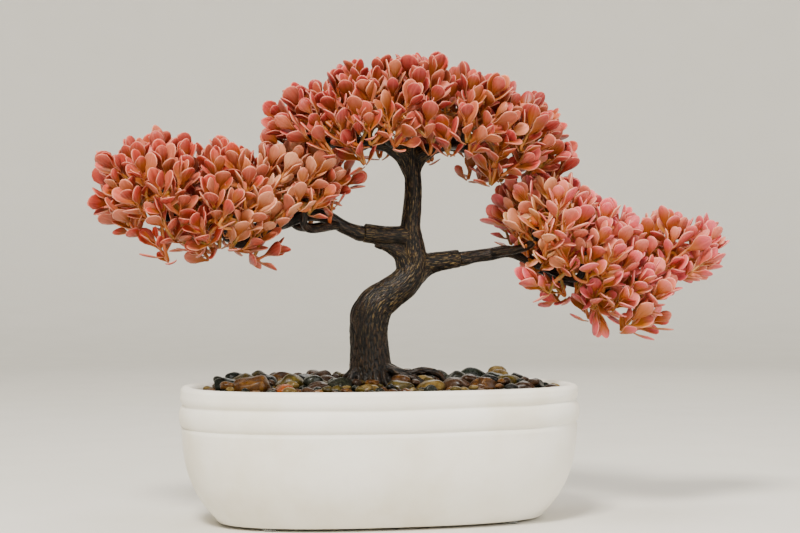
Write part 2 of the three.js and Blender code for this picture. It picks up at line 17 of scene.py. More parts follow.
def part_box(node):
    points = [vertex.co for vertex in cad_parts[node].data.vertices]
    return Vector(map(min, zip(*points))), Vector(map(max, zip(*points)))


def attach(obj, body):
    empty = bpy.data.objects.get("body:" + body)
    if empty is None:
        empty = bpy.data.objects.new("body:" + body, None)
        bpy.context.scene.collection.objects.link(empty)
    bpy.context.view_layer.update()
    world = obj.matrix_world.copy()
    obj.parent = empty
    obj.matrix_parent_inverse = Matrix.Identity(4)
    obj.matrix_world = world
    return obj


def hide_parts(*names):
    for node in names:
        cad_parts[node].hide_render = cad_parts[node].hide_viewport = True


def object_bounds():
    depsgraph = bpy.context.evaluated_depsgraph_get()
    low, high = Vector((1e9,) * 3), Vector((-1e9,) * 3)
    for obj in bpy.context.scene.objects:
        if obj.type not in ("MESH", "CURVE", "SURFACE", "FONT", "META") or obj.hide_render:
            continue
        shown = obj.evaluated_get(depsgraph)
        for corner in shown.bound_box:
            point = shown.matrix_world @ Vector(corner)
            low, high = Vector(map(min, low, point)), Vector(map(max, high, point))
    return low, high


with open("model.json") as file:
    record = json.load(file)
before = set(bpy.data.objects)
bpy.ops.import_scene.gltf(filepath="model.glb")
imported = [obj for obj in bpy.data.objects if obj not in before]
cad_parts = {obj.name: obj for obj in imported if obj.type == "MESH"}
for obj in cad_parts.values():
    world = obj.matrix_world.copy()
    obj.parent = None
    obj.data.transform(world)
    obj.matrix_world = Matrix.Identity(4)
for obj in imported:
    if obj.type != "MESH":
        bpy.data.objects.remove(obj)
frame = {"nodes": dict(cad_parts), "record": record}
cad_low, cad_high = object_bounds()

MM = 0.001
pot_low, pot_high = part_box("pot")
POT_MIDDLE = np.array([(pot_low.x + pot_high.x) / 2, 0, 0])
dice = random.Random(7)


def metres(points):
    return np.asarray(points, float) * MM + POT_MIDDLE


def unit(vector):
    return np.asarray(vector, float) / np.linalg.norm(vector)


# ------------------------------------------------------------------ camera and lights

AZIMUTH = 0.219  # radians that the camera stands to the left of the pot's front
EYE_DISTANCE = 1001.6
EYE_OFFSET = 10.56
EYE_HEIGHT = 139.1

ahead = np.array([math.sin(AZIMUTH), math.cos(AZIMUTH), 0])
rightward = np.array([math.cos(AZIMUTH), -math.sin(AZIMUTH), 0])
camera = bpy.data.objects.new("camera", bpy.data.cameras.new("camera"))
bpy.context.scene.collection.objects.link(camera)
camera.location = metres(-EYE_DISTANCE * ahead + EYE_OFFSET * rightward + [0, 0, EYE_HEIGHT])
camera.rotation_euler = (math.radians(90), 0, -AZIMUTH)
camera.data.lens = 81.9
camera.data.sensor_width = 36
bpy.context.scene.camera = camera


def soft_light(name, place, size, watts, colour):
    """A square area light that faces the middle of the tree."""
    lamp = bpy.data.lights.new(name, "AREA")
    lamp.size = size
    lamp.energy = watts
    lamp.color = colour
    light = bpy.data.objects.new(name, lamp)
    light.location = place
    aim = Vector((0, 0, 0.14)) - light.location
    light.rotation_euler = aim.to_track_quat("-Z", "Y").to_euler()
    bpy.context.scene.collection.objects.link(light)


soft_light("key_light", (-0.55, -0.95, 1.4), 0.4, 50, (1.0, 0.96, 0.89))
soft_light("fill_light", (1.1, -1.2, 0.75), 0.8, 13, (0.95, 0.97, 1.0))
soft_light("top_light", (0.1, 0.1, 1.5), 0.8, 12, (1.0, 0.98, 0.95))
soft_light("rim_light", (0.5, 1.2, 0.9), 0.6, 3, (1.0, 0.97, 0.93))


# ------------------------------------------------------------------ nodes and meshes


def linear(hex_colour):
    """An sRGB hex colour as linear red, green, blue and alpha."""
    parts = [int(hex_colour[i:i + 2], 16) / 255 for i in (0, 2, 4)]
    return [p / 12.92 if p <= 0.04045 else ((p + 0.055) / 1.055) ** 2.4 for p in parts] + [1.0]


def wire(material, node, inputs):
    """Sets a node's sockets: a node is linked by its first output, a (node, output) pair by
    that output, and anything else is a value."""
    for socket, value in inputs.items():
        if isinstance(value, bpy.types.Node):
            value = (value, 0)
        if isinstance(value, tuple) and isinstance(value[0], bpy.types.Node):
            material.node_tree.links.new(value[0].outputs[value[1]], node.inputs[socket])
        else:
            node.inputs[socket].default_value = value


def add(material, kind, inputs, ramp=(), **settings):
    """Adds one shader node with its settings, sockets and, on a colour ramp, its stops."""
    node = material.node_tree.nodes.new("ShaderNode" + kind)
    for name, value in settings.items():
        setattr(node, name, value)
    for _ in ramp[2:]:
        node.color_ramp.elements.new(1)
    for stop, (place, colour) in zip(node.color_ramp.elements if ramp else (), ramp):
        stop.position = place
        stop.color = linear(colour)
    wire(material, node, inputs)
    return node


def new_material(name):
    material = bpy.data.materials.new(name)
    material.use_nodes = True
    return material, material.node_tree.nodes["Principled BSDF"]


def make_piece(name, points, faces, materials, face_slots=None, attributes=None):
    """A mesh from points in millimetres, with vector attributes on its points."""
    mesh = bpy.data.meshes.new(name)
    mesh.from_pydata(metres(points).tolist(), [], [list(face) for face in faces])
    for material in materials:
        mesh.materials.append(material)
    if face_slots is not None:
        mesh.polygons.foreach_set("material_index", np.asarray(face_slots, np.int32))
    for title, values in (attributes or {}).items():
        layer = mesh.attributes.new(title, "FLOAT_VECTOR", "POINT")
        layer.data.foreach_set("vector", np.asarray(values, np.float32).ravel())
    mesh.polygons.foreach_set("use_smooth", np.full(len(mesh.polygons), True))
    mesh.update()
    piece = bpy.data.objects.new(name, mesh)
    bpy.context.scene.collection.objects.link(piece)
    return piece


def part_of_object(piece, slot_name, *nodes):
    """The piece rides on the one body and stands for nodes; slot_name is not used."""
    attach(piece, "root")
    if nodes:
        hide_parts(*nodes)
    return piece


def skin_faces(rows, count, closed=True):
    """Faces of a body of `rows` rings of `count` points, ends fanned to two extra points."""
    faces = []
    for row in range(rows - 1):
        for i in range(count):
            a, b = row * count + i, row * count + (i + 1) % count
            faces.append((a, b, b + count, a + count))
    if closed:
        first, last = rows * count, rows * count + 1
        end = (rows - 1) * count
        for i in range(count):
            faces.append((first, (i + 1) % count, i))
            faces.append((last, end + i, end + (i + 1) % count))
    return faces


def level_ring(radius, z, count):
    turns = np.arange(count) / count * 2 * math.pi
    return np.column_stack([radius * np.cos(turns), radius * np.sin(turns), np.full(count, z)])


def smooth_line(stations, step):
    """Rows of [x, y, z, radius] about `step` apart on the smooth curve through stations."""
    knots = np.asarray(stations, float)
    gaps = np.linalg.norm(np.diff(knots[:, :3], axis=0), axis=1)
    places = np.concatenate([[0], np.cumsum(gaps)])
    slopes = np.diff(knots, axis=0) / gaps[:, None]
    before, after = gaps[:-1, None], gaps[1:, None]
    inner = (slopes[1:] * before + slopes[:-1] * after) / (before + after)
    tangents = np.vstack([slopes[:1], inner, slopes[-1:]])
    wanted = np.linspace(0, places[-1], max(2, round(places[-1] / step)) + 1)
    i = np.clip(np.searchsorted(places, wanted, "right") - 1, 0, len(gaps) - 1)
    span = gaps[i][:, None]
    s = (wanted - places[i])[:, None] / span
    return (
        (2 * s**3 - 3 * s**2 + 1) * knots[i]
        + (s**3 - 2 * s**2 + s) * span * tangents[i]
        + (3 * s**2 - 2 * s**3) * knots[i + 1]
        + (s**3 - s**2) * span * tangents[i + 1]
    )


def carried_frames(line):
    """Tangent, side and other directions along a line, turned as little as can be."""
    ahead = np.gradient(line[:, :3], axis=0)
    ahead /= np.linalg.norm(ahead, axis=1)[:, None]
    side = np.array([0.0, 1.0, 0.0]) if abs(ahead[0][1]) < 0.8 else np.array([1.0, 0.0, 0.0])
    sides = []
    for direction in ahead:
        side = unit(side - direction * side.dot(direction))
        sides.append(side)
    sides = np.array(sides)
    return ahead, sides, np.cross(ahead, sides)


def rod(line, count, socket=None):
    """Points and faces of a round rod along rows of [x, y, z, radius]. A socket is the radius
    and depth of a hole in its far end."""
    ahead, sides, others = carried_frames(line)
    if socket:
        radius, depth = socket
        end = line[-1, :3]
        hole = [[*end, radius], [*(end - depth * ahead[-1]), radius]]
        line = np.vstack([line, hole])
        sides = np.vstack([sides, sides[-1:], sides[-1:]])
        others = np.vstack([others, others[-1:], others[-1:]])
    turns = np.arange(count) / count * 2 * math.pi
    rings = (
        line[:, None, :3]
        + line[:, None, 3:] * np.cos(turns)[None, :, None] * sides[:, None]
        + line[:, None, 3:] * np.sin(turns)[None, :, None] * others[:, None]
    )
    points = np.vstack([rings.reshape(-1, 3), line[0, :3], line[-1, :3]])
    return points, skin_faces(len(line), count)


def gathered(parts):
    """Several (points, faces) bodies as one list of points and one of faces."""
    points, faces, start = [], [], 0
    for some_points, some_faces in parts:
        points.append(some_points)
        faces += [tuple(start + i for i in face) for face in some_faces]
        start += len(some_points)
    return np.vstack(points), faces


# ------------------------------------------------------------------ wood: shape

# Centre lines as [x, y, z, radius]. The frame's solids follow the same ones, with a thicker plug.
TRUNK_LINE = [
    [-5, 0, 32, 9.3], [-5, 0, 60, 11.7], [-5.3, 0, 72, 13], [-5.8, 0, 82, 11.8],
    [-6.4, 0, 94, 10.6], [-6.6, 0, 107, 10.4], [-3.2, 0, 117.5, 10.2], [5, 0, 124, 8.9],
    [13.5, 0, 130.5, 8.4], [18.6, 0, 138.5, 7.8], [18.2, 0, 148, 6.9], [16.8, 0, 161, 5.5],
    [17.8, 0, 172, 5.1], [18.3, 0, 184, 4.7], [17.3, 0, 197, 4.5], [16.8, 0, 206, 4.2],
]
LEFT_STUB = [[14, 0, 156, 5.6], [4, 0, 156, 5.3], [-9.5, 0, 157.6, 5.2]]
RIGHT_STUB = [[20, 0, 140, 6], [32, 0, 141.8, 5.4], [44.5, 0, 143.6, 4.9]]
LEFT_FORK = [[17, 0, 197, 3.8], [9, 0, 203.5, 3.5], [-3.5, 0, 207, 3.3]]
RIGHT_FORK = [[17, 0, 197, 3.8], [24, 0, 202.3, 3.6], [32.5, 0, 205.2, 3.3]]
ROOTS = [
    [[1, -7, 84, 2.6], [9, -13, 80.5, 2.4], [17, -18, 77, 2], [24, -21, 72.5, 1.4]],
    [[3, -4, 84, 2.6], [13, -8, 80.5, 2.2], [22, -10, 82, 2.1], [30, -12, 80, 1.8], [35, -14, 73.5, 1.4]],
    [[-5, -9, 82, 2.6], [-5, -13.5, 77.5, 2.2], [-4, -16.5, 71.5, 1.6]],
    [[-12, -4, 84, 2.4], [-17, -7, 80.5, 1.9], [-20.5, -9, 73.5, 1.5]],
    [[-11, 7, 83, 2.6], [-16, 14, 78, 2.1], [-20, 20, 71.5, 1.5]],
    [[3, 8, 83, 2.6], [9, 15, 78, 2.1], [14, 21, 71.5, 1.5]],
]

# What the moulder's tool added to the round limbs: the elbow's square shoulder, and webs under
# the stubs.
WEBS = [
    [[-8.2, 0, 92, 8.6], [-8.6, 0, 104, 8.2], [-9.2, 0, 114, 7.4], [-2, 0, 119.8, 7.8], [8, 0, 126, 7]],
    [[-3, 0, 151.8, 2.3], [5, 0, 150, 3.6], [12, 0, 145.5, 5], [15, 0, 138, 6]],
    [[34, 0, 140, 3.2], [26, 0, 138, 4.4], [20, 0, 134, 5.5]],
    [[4, 0, 204, 2.4], [11, 0, 199, 3], [16.5, 0, 190, 3.6]],
    [[29, 0, 202.5, 2.4], [22.5, 0, 198, 3], [18, 0, 189, 3.6]],
]

# Where the dry brush caught the ridges, and where gold-brown is painted highlight on ridges
# that catch the light: middle, radius and how much gold-brown lies there.
BRUSHED_AND_HIGHLIT = [
    [(2, -9, 120), 17, 0.7], [(18, -6, 141), 13, 0.85], [(-8, -3, 159), 8, 0.9],
    [(40, -4, 144), 8, 1.0], [(-4, -10, 88), 16, 0.12], [(12, 8, 128), 16, 0.7],
    [(30, -4, 142), 8, 0.6], [(16, -4, 200), 14, 0.6],
    [(17, -5, 172), 24, 0.65], [(-30, -4, 166), 14, 0.4], [(68, -5, 147), 16, 0.4],
]

# A hub is where a peg leaves the wood: its place, the share of the branch's line where its
# twig starts, and how far the peg leans to the front or back.
BRANCHES = {
    "left_branch": {
        "arm": LEFT_STUB, "collar": 4.4, "plug": [2.7, 8],
        "line": [
            [-15.5, 0, 158.6, 3.9], [-22, 0, 161.4, 3.7], [-30, -1, 166, 3.6], [-42, -2, 167, 3.3],
            [-55, -2, 162, 2.9], [-70, -1, 160, 2.7], [-90, 0, 160, 2.4], [-112, 0, 166, 2.1],
        ],
        "hubs": [
            [(-46, -20, 166), 0.34, -0.45], [(-46, 22, 168), 0.34, 0.45], [(-84, -24, 157), 0.64, -0.5],
            [(-84, 24, 161), 0.64, 0.45], [(-121, -16, 170), 1, -0.4], [(-121, 17, 172), 1, 0.4],
        ],
    },
    "right_branch": {
        "arm": RIGHT_STUB, "collar": 4.1, "plug": [2.7, 8],
        "line": [
            [51, 0, 144.3, 3.7], [62.5, -1, 146, 3.6], [72, -2, 147.5, 3.4], [82, -2, 144, 3.1],
            [92, -2, 137.5, 2.8], [108, -1, 130.5, 2.5], [126, 0, 127, 2.2],
        ],
        "hubs": [
            [(82, -22, 158), 0.36, -0.45], [(86, 21, 158), 0.36, 0.45], [(108, -25, 138), 0.68, -0.5],
            [(116, 22, 143), 0.68, 0.45], [(140, -14, 124), 1, -0.55], [(158, 6, 141), 1, 0.2],
        ],
    },
    "crown_left_branch": {
        "arm": LEFT_FORK, "collar": 3, "plug": [1.7, 5],
        "line": [[-10, 0, 206.6, 3.8], [-18, 0, 205, 4.2], [-25, 0, 206.8, 3.2]],
        "hubs": [[(-42, -15, 212), 1, -0.3], [(-40, 17, 213), 1, 0.3]],
    },
    "crown_right_branch": {
        "arm": RIGHT_FORK, "collar": 3, "plug": [1.7, 5],
        "line": [[42, 0, 206, 3.1], [50, 0, 204.4, 3], [60, 0, 199, 2.8], [70, 0, 195.8, 2.5]],
        "hubs": [
            [(42, -22, 212), 0.25, -0.35], [(46, 21, 213), 0.25, 0.35],
            [(80, -14, 200), 1, -0.3], [(82, 17, 202), 1, 0.35],
        ],
    },
}
TRUNK_TWIG_FOOT = [16.8, 0, 203, 3]
TRUNK_HUBS = [[(-2, -21, 215), 0, -0.35], [(6, 21, 217), 0, 0.35]]

PEG_LENGTH, PEG_FOOT, PEG_TIP = 10, 1.9, 1.5  # its length and the radii of its ends
TWIG_RADIUS, THICKEST_TWIG = 2, 2.6
STEP = 0.8  # between the rings of a rod
JOINT_GAP = 0.1  # from the open end of a stub or arm to its branch's collar
COLLAR_LENGTH, COLLAR_DROP = 2.5, 0.5


def hub_up(hub):
    return unit([0, hub[2], 1])


def branch_line(name):
    """A branch's line from its collar, which stands square on the open end of its arm."""
    branch = BRANCHES[name]
    end = np.array(branch["arm"][-1][:3], float)
    outward = unit(end - branch["arm"][-2][:3])
    ends = [end + outward * away - [0, 0, COLLAR_DROP] for away in (JOINT_GAP, COLLAR_LENGTH)]
    return [[*place, branch["collar"]] for place in ends] + branch["line"]


def plug_line(name):
    line = branch_line(name)
    start = np.array(line[0][:3])
    inward = unit(start - line[1][:3])
    radius, depth = BRANCHES[name]["plug"]
    return [[*(start - inward), radius], [*(start + inward * depth), radius]]


def line_at(line, share):
    place = share * (len(line) - 1)
    low = min(int(place), len(line) - 2)
    start, end = np.array(line[low], float), np.array(line[low + 1], float)
    return start + (end - start) * (place - low)


def hubs_on(name):
    return TRUNK_HUBS if name == "trunk" else BRANCHES[name]["hubs"]


def twig_line(name, hub):
    """A twig from the branch's line, or from the trunk's top, to the hub."""
    line = [TRUNK_TWIG_FOOT] * 2 if name == "trunk" else branch_line(name)
    foot = line_at(line, hub[1])
    below = np.array(hub[0]) - 3 * hub_up(hub)
    start = [*foot[:3], min(foot[3] * 0.9, THICKEST_TWIG)]
    return [start, [*below, TWIG_RADIUS], [*hub[0], PEG_FOOT]]


def peg_line(hub):
    return [[*hub[0], PEG_FOOT], [*(np.array(hub[0]) + PEG_LENGTH * hub_up(hub)), PEG_TIP]]


def twigs_and_pegs(name):
    limbs = []
    for hub in hubs_on(name):
        limbs += [(twig_line(name, hub), None), (peg_line(hub), None)]
    return limbs


def foot_strips(count=22):
    """Frayed strips of bark that splay from the trunk's foot onto the pebbles."""
    strips = []
    for i in range(count):
        turn = (i + dice.uniform(-0.3, 0.3)) * 2 * math.pi / count
        outward = np.array([math.cos(turn), math.sin(turn), 0])
        strips.append([
            [*(outward * 10.6 + [-5.8, 0, dice.uniform(79, 84)]), 1.2],
            [*(outward * 12.6 + [-5.5, 0, 77.5]), dice.uniform(0.9, 1.3)],
            [*(outward * dice.uniform(14.0, 17.5) + [-5.4, 0, dice.uniform(71, 74)]), 0.6],
        ])
    return strips


# ------------------------------------------------------------------ wood: moulding and bark


def moulded(parts, voxel, rounds):
    """Overlapping bodies as one skin with its inner corners rounded, in millimetres."""
    points, faces = gathered(parts)
    raw = make_piece("raw", points, faces, [])
    remesh = raw.modifiers.new("one skin", "REMESH")
    remesh.mode = "VOXEL"
    remesh.voxel_size = voxel * MM
    soften = raw.modifiers.new("soften", "SMOOTH")
    soften.factor = 0.5
    soften.iterations = rounds
    depsgraph = bpy.context.evaluated_depsgraph_get()
    mesh = bpy.data.meshes.new_from_object(raw.evaluated_get(depsgraph))
    bpy.data.objects.remove(raw)
    places = np.zeros(len(mesh.vertices) * 3)
    mesh.vertices.foreach_get("co", places)
    normals = np.zeros(len(mesh.vertices) * 3)
    mesh.vertices.foreach_get("normal", normals)
    skin = [tuple(polygon.vertices) for polygon in mesh.polygons]
    bpy.data.meshes.remove(mesh)
    return (places.reshape(-1, 3) - POT_MIDDLE) / MM, normals.reshape(-1, 3), skin


def straightened(points, lines):
    """Where each point would be if the limb that it lies on stood straight at the origin."""
    rows = []
    for number, line in enumerate(lines):
        ahead, sides, others = carried_frames(line)
        steps = np.linalg.norm(np.diff(line[:, :3], axis=0), axis=1)
        run = 37 * number + np.concatenate([[0], np.cumsum(steps)])  # no two limbs look alike
        rows.append(np.hstack([line, ahead, sides, others, run[:, None]]))
    rows = np.vstack(rows)
    found = []
    for some in np.array_split(points, max(1, len(points) // 4000)):
        away = np.linalg.norm(some[:, None] - rows[None, :, :3], axis=2) - rows[None, :, 3]
        near = rows[np.argmin(away, axis=1)]
        offset = some - near[:, :3]
        side = np.sum(offset * near[:, 7:10], axis=1)
        other = np.sum(offset * near[:, 10:13], axis=1)
        spread = near[:, 3] / np.maximum(np.hypot(side, other), 1e-6)
        run = near[:, 13] + np.sum(offset * near[:, 4:7], axis=1)
        found.append(np.column_stack([side * spread, other * spread, run]))
    return np.vstack(found)


def barked(name, limbs, groove_depth, material, voxel, rounds):
    """A wooden piece with grooves along its limbs, each a line of stations and its socket or
    None. The piece's material reads grain and bark."""
    lines = [smooth_line(stations, STEP) for stations, _ in limbs]
    parts = []
    for line, (_, socket) in zip(lines, limbs):
        parts.append(rod(line, max(10, round(line[:, 3].max() * 7)), socket))
    points, normals, faces = moulded(parts, voxel, rounds)
    grain = straightened(points, lines)
    bark = np.zeros((len(points), 3))
    # Grooves part plates about 0.9 mm wide and 7 mm long, which are made of shorter fibres.
    for i, (x, y, run) in enumerate(grain.tolist()):
        wander = noise.noise(Vector((x / 8, y / 8, run / 14)))
        plate = noise.noise(Vector((x / 0.85 + wander, y / 0.85, run / 7)))
        fibre = noise.noise(Vector((x / 0.7, y / 0.7 + wander, run / 4)))
        bark[i, :2] = min(1, abs(plate) / 0.2), 0.5 + fibre
    # How much gold-brown each place takes: dry brushing, and painted highlight on lit ridges.
    for middle, radius, share in BRUSHED_AND_HIGHLIT:
        away = np.linalg.norm(points - middle, axis=1) / radius
        bark[:, 2] = np.maximum(bark[:, 2], share * np.exp(-(away**2)))
    smoother = np.interp(points[:, 2], [125, 150], [1, 0.6])  # the upper trunk is
    lift = groove_depth * smoother * (bark[:, 0] - 0.75 + 0.4 * (bark[:, 1] - 0.5))
    points = points + normals * lift[:, None]
    return make_piece(name, points, faces, [material], attributes={"grain": grain, "bark": bark})


# ------------------------------------------------------------------ materials

FACTOR, COLOUR_A, COLOUR_B, MIXED = 0, 6, 7, 2  # sockets of a colour mix


def across(millimetres):
    """The texture scale whose features are about this far across on the object."""
    return 1 / (millimetres * MM)


def bisque_ceramic():
    """Stoneware, slip cast and fired without a gloss glaze: chalk white and matt, with a fine
    tooth, a slow unevenness left by the mould, and faint warm blotches from the kiln."""
    material, surface = new_material("bisque_ceramic_slip_cast")
    place = (add(material, "TexCoord", {}), "Object")
    blotch = add(material, "TexNoise", {
        "Vector": place, "Scale": across(38), "Detail": 3.0, "Roughness": 0.55,
    })
    clay = add(
        material, "ValToRGB", {"Fac": blotch}, ramp=[(0.3, "E6DFCD"), (0.55, "F1EDE2"), (0.8, "F5F2EA")],
    )
    # The kiln's specks are about 0.3 mm, drawn 0.7 mm so that they show at all.
    specks = add(material, "TexNoise", {"Vector": place, "Scale": across(0.7), "Detail": 2.0})
    speck_share = add(material, "MapRange", {
        "Value": specks, "From Min": 0.66, "From Max": 0.78, "To Max": 0.3,
    })
    speckled = add(
        material, "Mix",
        {FACTOR: speck_share, COLOUR_A: clay, COLOUR_B: linear("B9AC98")},
        data_type="RGBA",
    )
    tooth = add(material, "TexNoise", {
        "Vector": place, "Scale": across(0.9), "Detail": 5.0, "Roughness": 0.65,
    })
    mould = add(material, "TexNoise", {"Vector": place, "Scale": across(14), "Detail": 2.0})
    matt = add(material, "MapRange", {
        "Value": blotch, "From Min": 0.3, "From Max": 0.7, "To Min": 0.62, "To Max": 0.78,
    })
    uneven = add(material, "Bump", {"Height": mould, "Strength": 0.35, "Distance": 1.2 * MM})
    fine = add(material, "Bump", {"Height": tooth, "Strength": 0.3, "Distance": 0.12 * MM, "Normal": uneven})
    wire(material, surface, {
        "Base Color": (speckled, MIXED), "Roughness": matt, "Normal": fine, "Specular IOR Level": 0.4,
    })
    return material


def clear_vinyl():
    """Soft clear polyurethane, cast in domes: water clear with a slightly hazy skin."""
    material, surface = new_material("clear_vinyl_cast")
    place = (add(material, "TexCoord", {}), "Object")
    haze = add(material, "TexNoise", {"Vector": place, "Scale": across(1.5), "Detail": 3.0})
    skin = add(material, "MapRange", {"Value": haze, "To Min": 0.08, "To Max": 0.3})
    ripple = add(material, "Bump", {"Height": haze, "Strength": 0.15, "Distance": 0.1 * MM})
    wire(material, surface, {
        "Base Color": linear("F0F2F1"), "Roughness": skin, "IOR": 1.49,
        "Transmission Weight": 0.85, "Normal": ripple,
    })
    return material


def cast_cement():
    """Cement poured into the pot and coloured dark brown as painted shade, so that the gaps
    between the pebbles read as shadowed gravel: dull and sandy, with pores that air left in it."""
    material, surface = new_material("cement_cast")
    place = (add(material, "TexCoord", {}), "Object")
    sand = add(material, "TexNoise", {
        "Vector": place, "Scale": across(1.2), "Detail": 6.0, "Roughness": 0.7,
    })
    # The dark brown ramp is painted shade for the gaps between the pebbles.
    shaded_brown = add(
        material, "ValToRGB", {"Fac": sand}, ramp=[(0.3, "2A241C"), (0.55, "4A4136"), (0.8, "685C4E")],
    )
    pores = add(material, "TexVoronoi", {"Vector": place, "Scale": across(4)})
    pits = add(material, "MapRange", {"Value": pores, "From Max": 0.2})
    pitted = add(material, "Bump", {"Height": pits, "Strength": 0.6, "Distance": 0.8 * MM})
    grit = add(material, "Bump", {"Height": sand, "Strength": 0.5, "Distance": 0.4 * MM, "Normal": pitted})
    wire(material, surface, {"Base Color": shaded_brown, "Roughness": 0.92, "Normal": grit})
    return material


def stained_bark(name, stain, gold_and_highlight_share, shine):
    """PVC moulded with bark grooves, stained nearly black and wiped off the ridges, then given
    gold-brown with a dry brush, which also stands as painted highlight on ridges that catch the
    light. The grooves drink the light and the rubbed ridges have a low sheen. Lengths here are the
    millimetres of the grain."""
    material, surface = new_material(name)
    grain = (add(material, "Attribute", {}, attribute_name="grain"), "Vector")
    bark = (add(material, "Attribute", {}, attribute_name="bark"), "Vector")
    bark_parts = add(material, "SeparateXYZ", {"Vector": bark})
    # The moulded hairs are about 0.3 mm, drawn 0.8 mm so that they show as crisp lines.
    drawn = add(material, "Mapping", {"Vector": grain, "Scale": (1, 1, 0.12)})
    hairs = add(material, "TexNoise", {"Vector": drawn, "Scale": 1 / 0.8, "Detail": 3.0, "Roughness": 0.6})
    wiped = add(material, "Math", {0: (bark_parts, "X"), 1: hairs}, operation="MULTIPLY")
    stained = add(
        material, "ValToRGB", {"Fac": wiped}, ramp=[(0.2, stain[0]), (0.42, stain[1]), (0.58, stain[2])],
    )
    # Where gold-brown goes: dry brushing, and painted highlight on the ridges that catch the light.
    brush_and_highlight = add(material, "MapRange", {"Value": (bark_parts, "Z"), "To Min": 0.03, "To Max": gold_and_highlight_share})
    flecks = add(material, "TexNoise", {"Vector": drawn, "Scale": 1 / 0.5, "Detail": 2.0, "Roughness": 0.5})
    caught = add(material, "MapRange", {"Value": flecks, "From Min": 0.56, "From Max": 0.62})
    ridges = add(material, "Math", {0: caught, 1: (bark_parts, "X")}, operation="MULTIPLY")
    gold = add(material, "Math", {0: ridges, 1: brush_and_highlight}, operation="MULTIPLY")
    painted = add(
        material, "Mix", {FACTOR: gold, COLOUR_A: stained, COLOUR_B: linear("8C7448")}, data_type="RGBA",
    )
    sheen = add(material, "MapRange", {
        "Value": wiped, "From Max": 0.6, "To Min": shine + 0.28, "To Max": shine,
    })
    fibres = add(material, "Bump", {"Height": hairs, "Strength": 0.9, "Distance": 0.5 * MM})
    wire(material, surface, {
        "Base Color": (painted, MIXED), "Roughness": sheen, "Normal": fibres, "Specular IOR Level": 0.2,
    })
    return material


VEIN_TINT, RIM_TINT = "EC7C68", "F2BFA4"


def moulded_leaf(name, body, deep, tip, pale, heel):
    """Soft polyethylene, injection moulded and tinted by hand: satin and slightly see-through,
    with a pale rim where the tint has worn off and an ochre heel where it was sprayed from
    the stem side. The leaf's own coordinates come from its mesh."""
    material, surface = new_material(name)
    place = (add(material, "TexCoord", {}), "Object")
    blade = (add(material, "Attribute", {}, attribute_name="blade"), "Vector")
    tone = (add(material, "Attribute", {}, attribute_name="tone"), "Vector")
    blade_parts = add(material, "SeparateXYZ", {"Vector": blade})
    tone_parts = add(material, "SeparateXYZ", {"Vector": tone})
    mottle = add(material, "TexNoise", {
        "Vector": place, "Scale": across(3.2), "Detail": 4.0, "Roughness": 0.6,
    })
    patches = add(material, "MapRange", {
        "Value": mottle, "From Min": 0.34, "From Max": 0.68, "To Max": 0.85,
    })
    tip_share = add(material, "MapRange", {
        "Value": (blade_parts, "Y"), "From Min": 0.4, "From Max": 0.95, "To Max": 0.75,
    })
    # The veins are about 0.5 mm apart, drawn 1.5 mm so that they show. They fan out from the heel.
    own_start = add(material, "VectorMath", {0: tone, 1: (40, 40, 0)}, operation="MULTIPLY")
    fanned = add(
        material, "VectorMath", {0: blade, 1: (2.6, 0.5, 0), 2: own_start}, operation="MULTIPLY_ADD",
    )
    veins = add(material, "TexNoise", {"Vector": fanned, "Scale": 1.0, "Detail": 2.0, "Roughness": 0.5})
    streaks = add(material, "MapRange", {"Value": veins, "From Min": 0.44, "From Max": 0.66, "To Max": 0.3})
    reach = add(material, "Math", {0: (tone_parts, "Y"), 1: (blade_parts, "Y")}, operation="SUBTRACT")
    heel_share = add(
        material, "MapRange",
        {"Value": reach, "From Min": -0.3, "From Max": 0.28, "To Max": 0.95},
        interpolation_type="SMOOTHSTEP",
    )
    rim_share = add(material, "MapRange", {
        "Value": (blade_parts, "Z"), "From Min": 0.9, "From Max": 1.0, "To Max": 0.3,
    })
    # Tints over the body colour, in the order that they are laid. The last but one darkens the
    # leaf's under side with the deep colour: painted shade.
    tints = [
        (patches, deep), (tip_share, tip), (streaks, VEIN_TINT), ((tone_parts, "X"), pale),
        (heel_share, heel), ((tone_parts, "Z"), deep), (rim_share, RIM_TINT),
    ]
    colour = linear(body)
    for share, tint in tints:
        tinted = add(
            material, "Mix", {FACTOR: share, COLOUR_A: colour, COLOUR_B: linear(tint)}, data_type="RGBA",
        )
        colour = (tinted, MIXED)
    satin = add(material, "MapRange", {
        "Value": mottle, "From Min": 0.3, "From Max": 0.7, "To Min": 0.36, "To Max": 0.52,
    })
    # The midrib is a 0.6 mm valley between the veins.
    rib = add(material, "Math", {0: (blade_parts, "X")}, operation="ABSOLUTE")
    valley = add(material, "MapRange", {"Value": rib, "From Max": 0.14})
    swell = add(material, "Math", {0: valley, 1: veins}, operation="ADD")
    relief = add(material, "Bump", {"Height": swell, "Strength": 0.35, "Distance": 0.3 * MM})
    wire(material, surface, {
        "Base Color": colour, "Roughness": satin, "Normal": relief,
        "Subsurface Weight": 0.25, "Subsurface Radius": (1.0, 0.45, 0.3),
        "Subsurface Scale": 1.0 * MM, "Specular IOR Level": 0.3,
    })
    return material


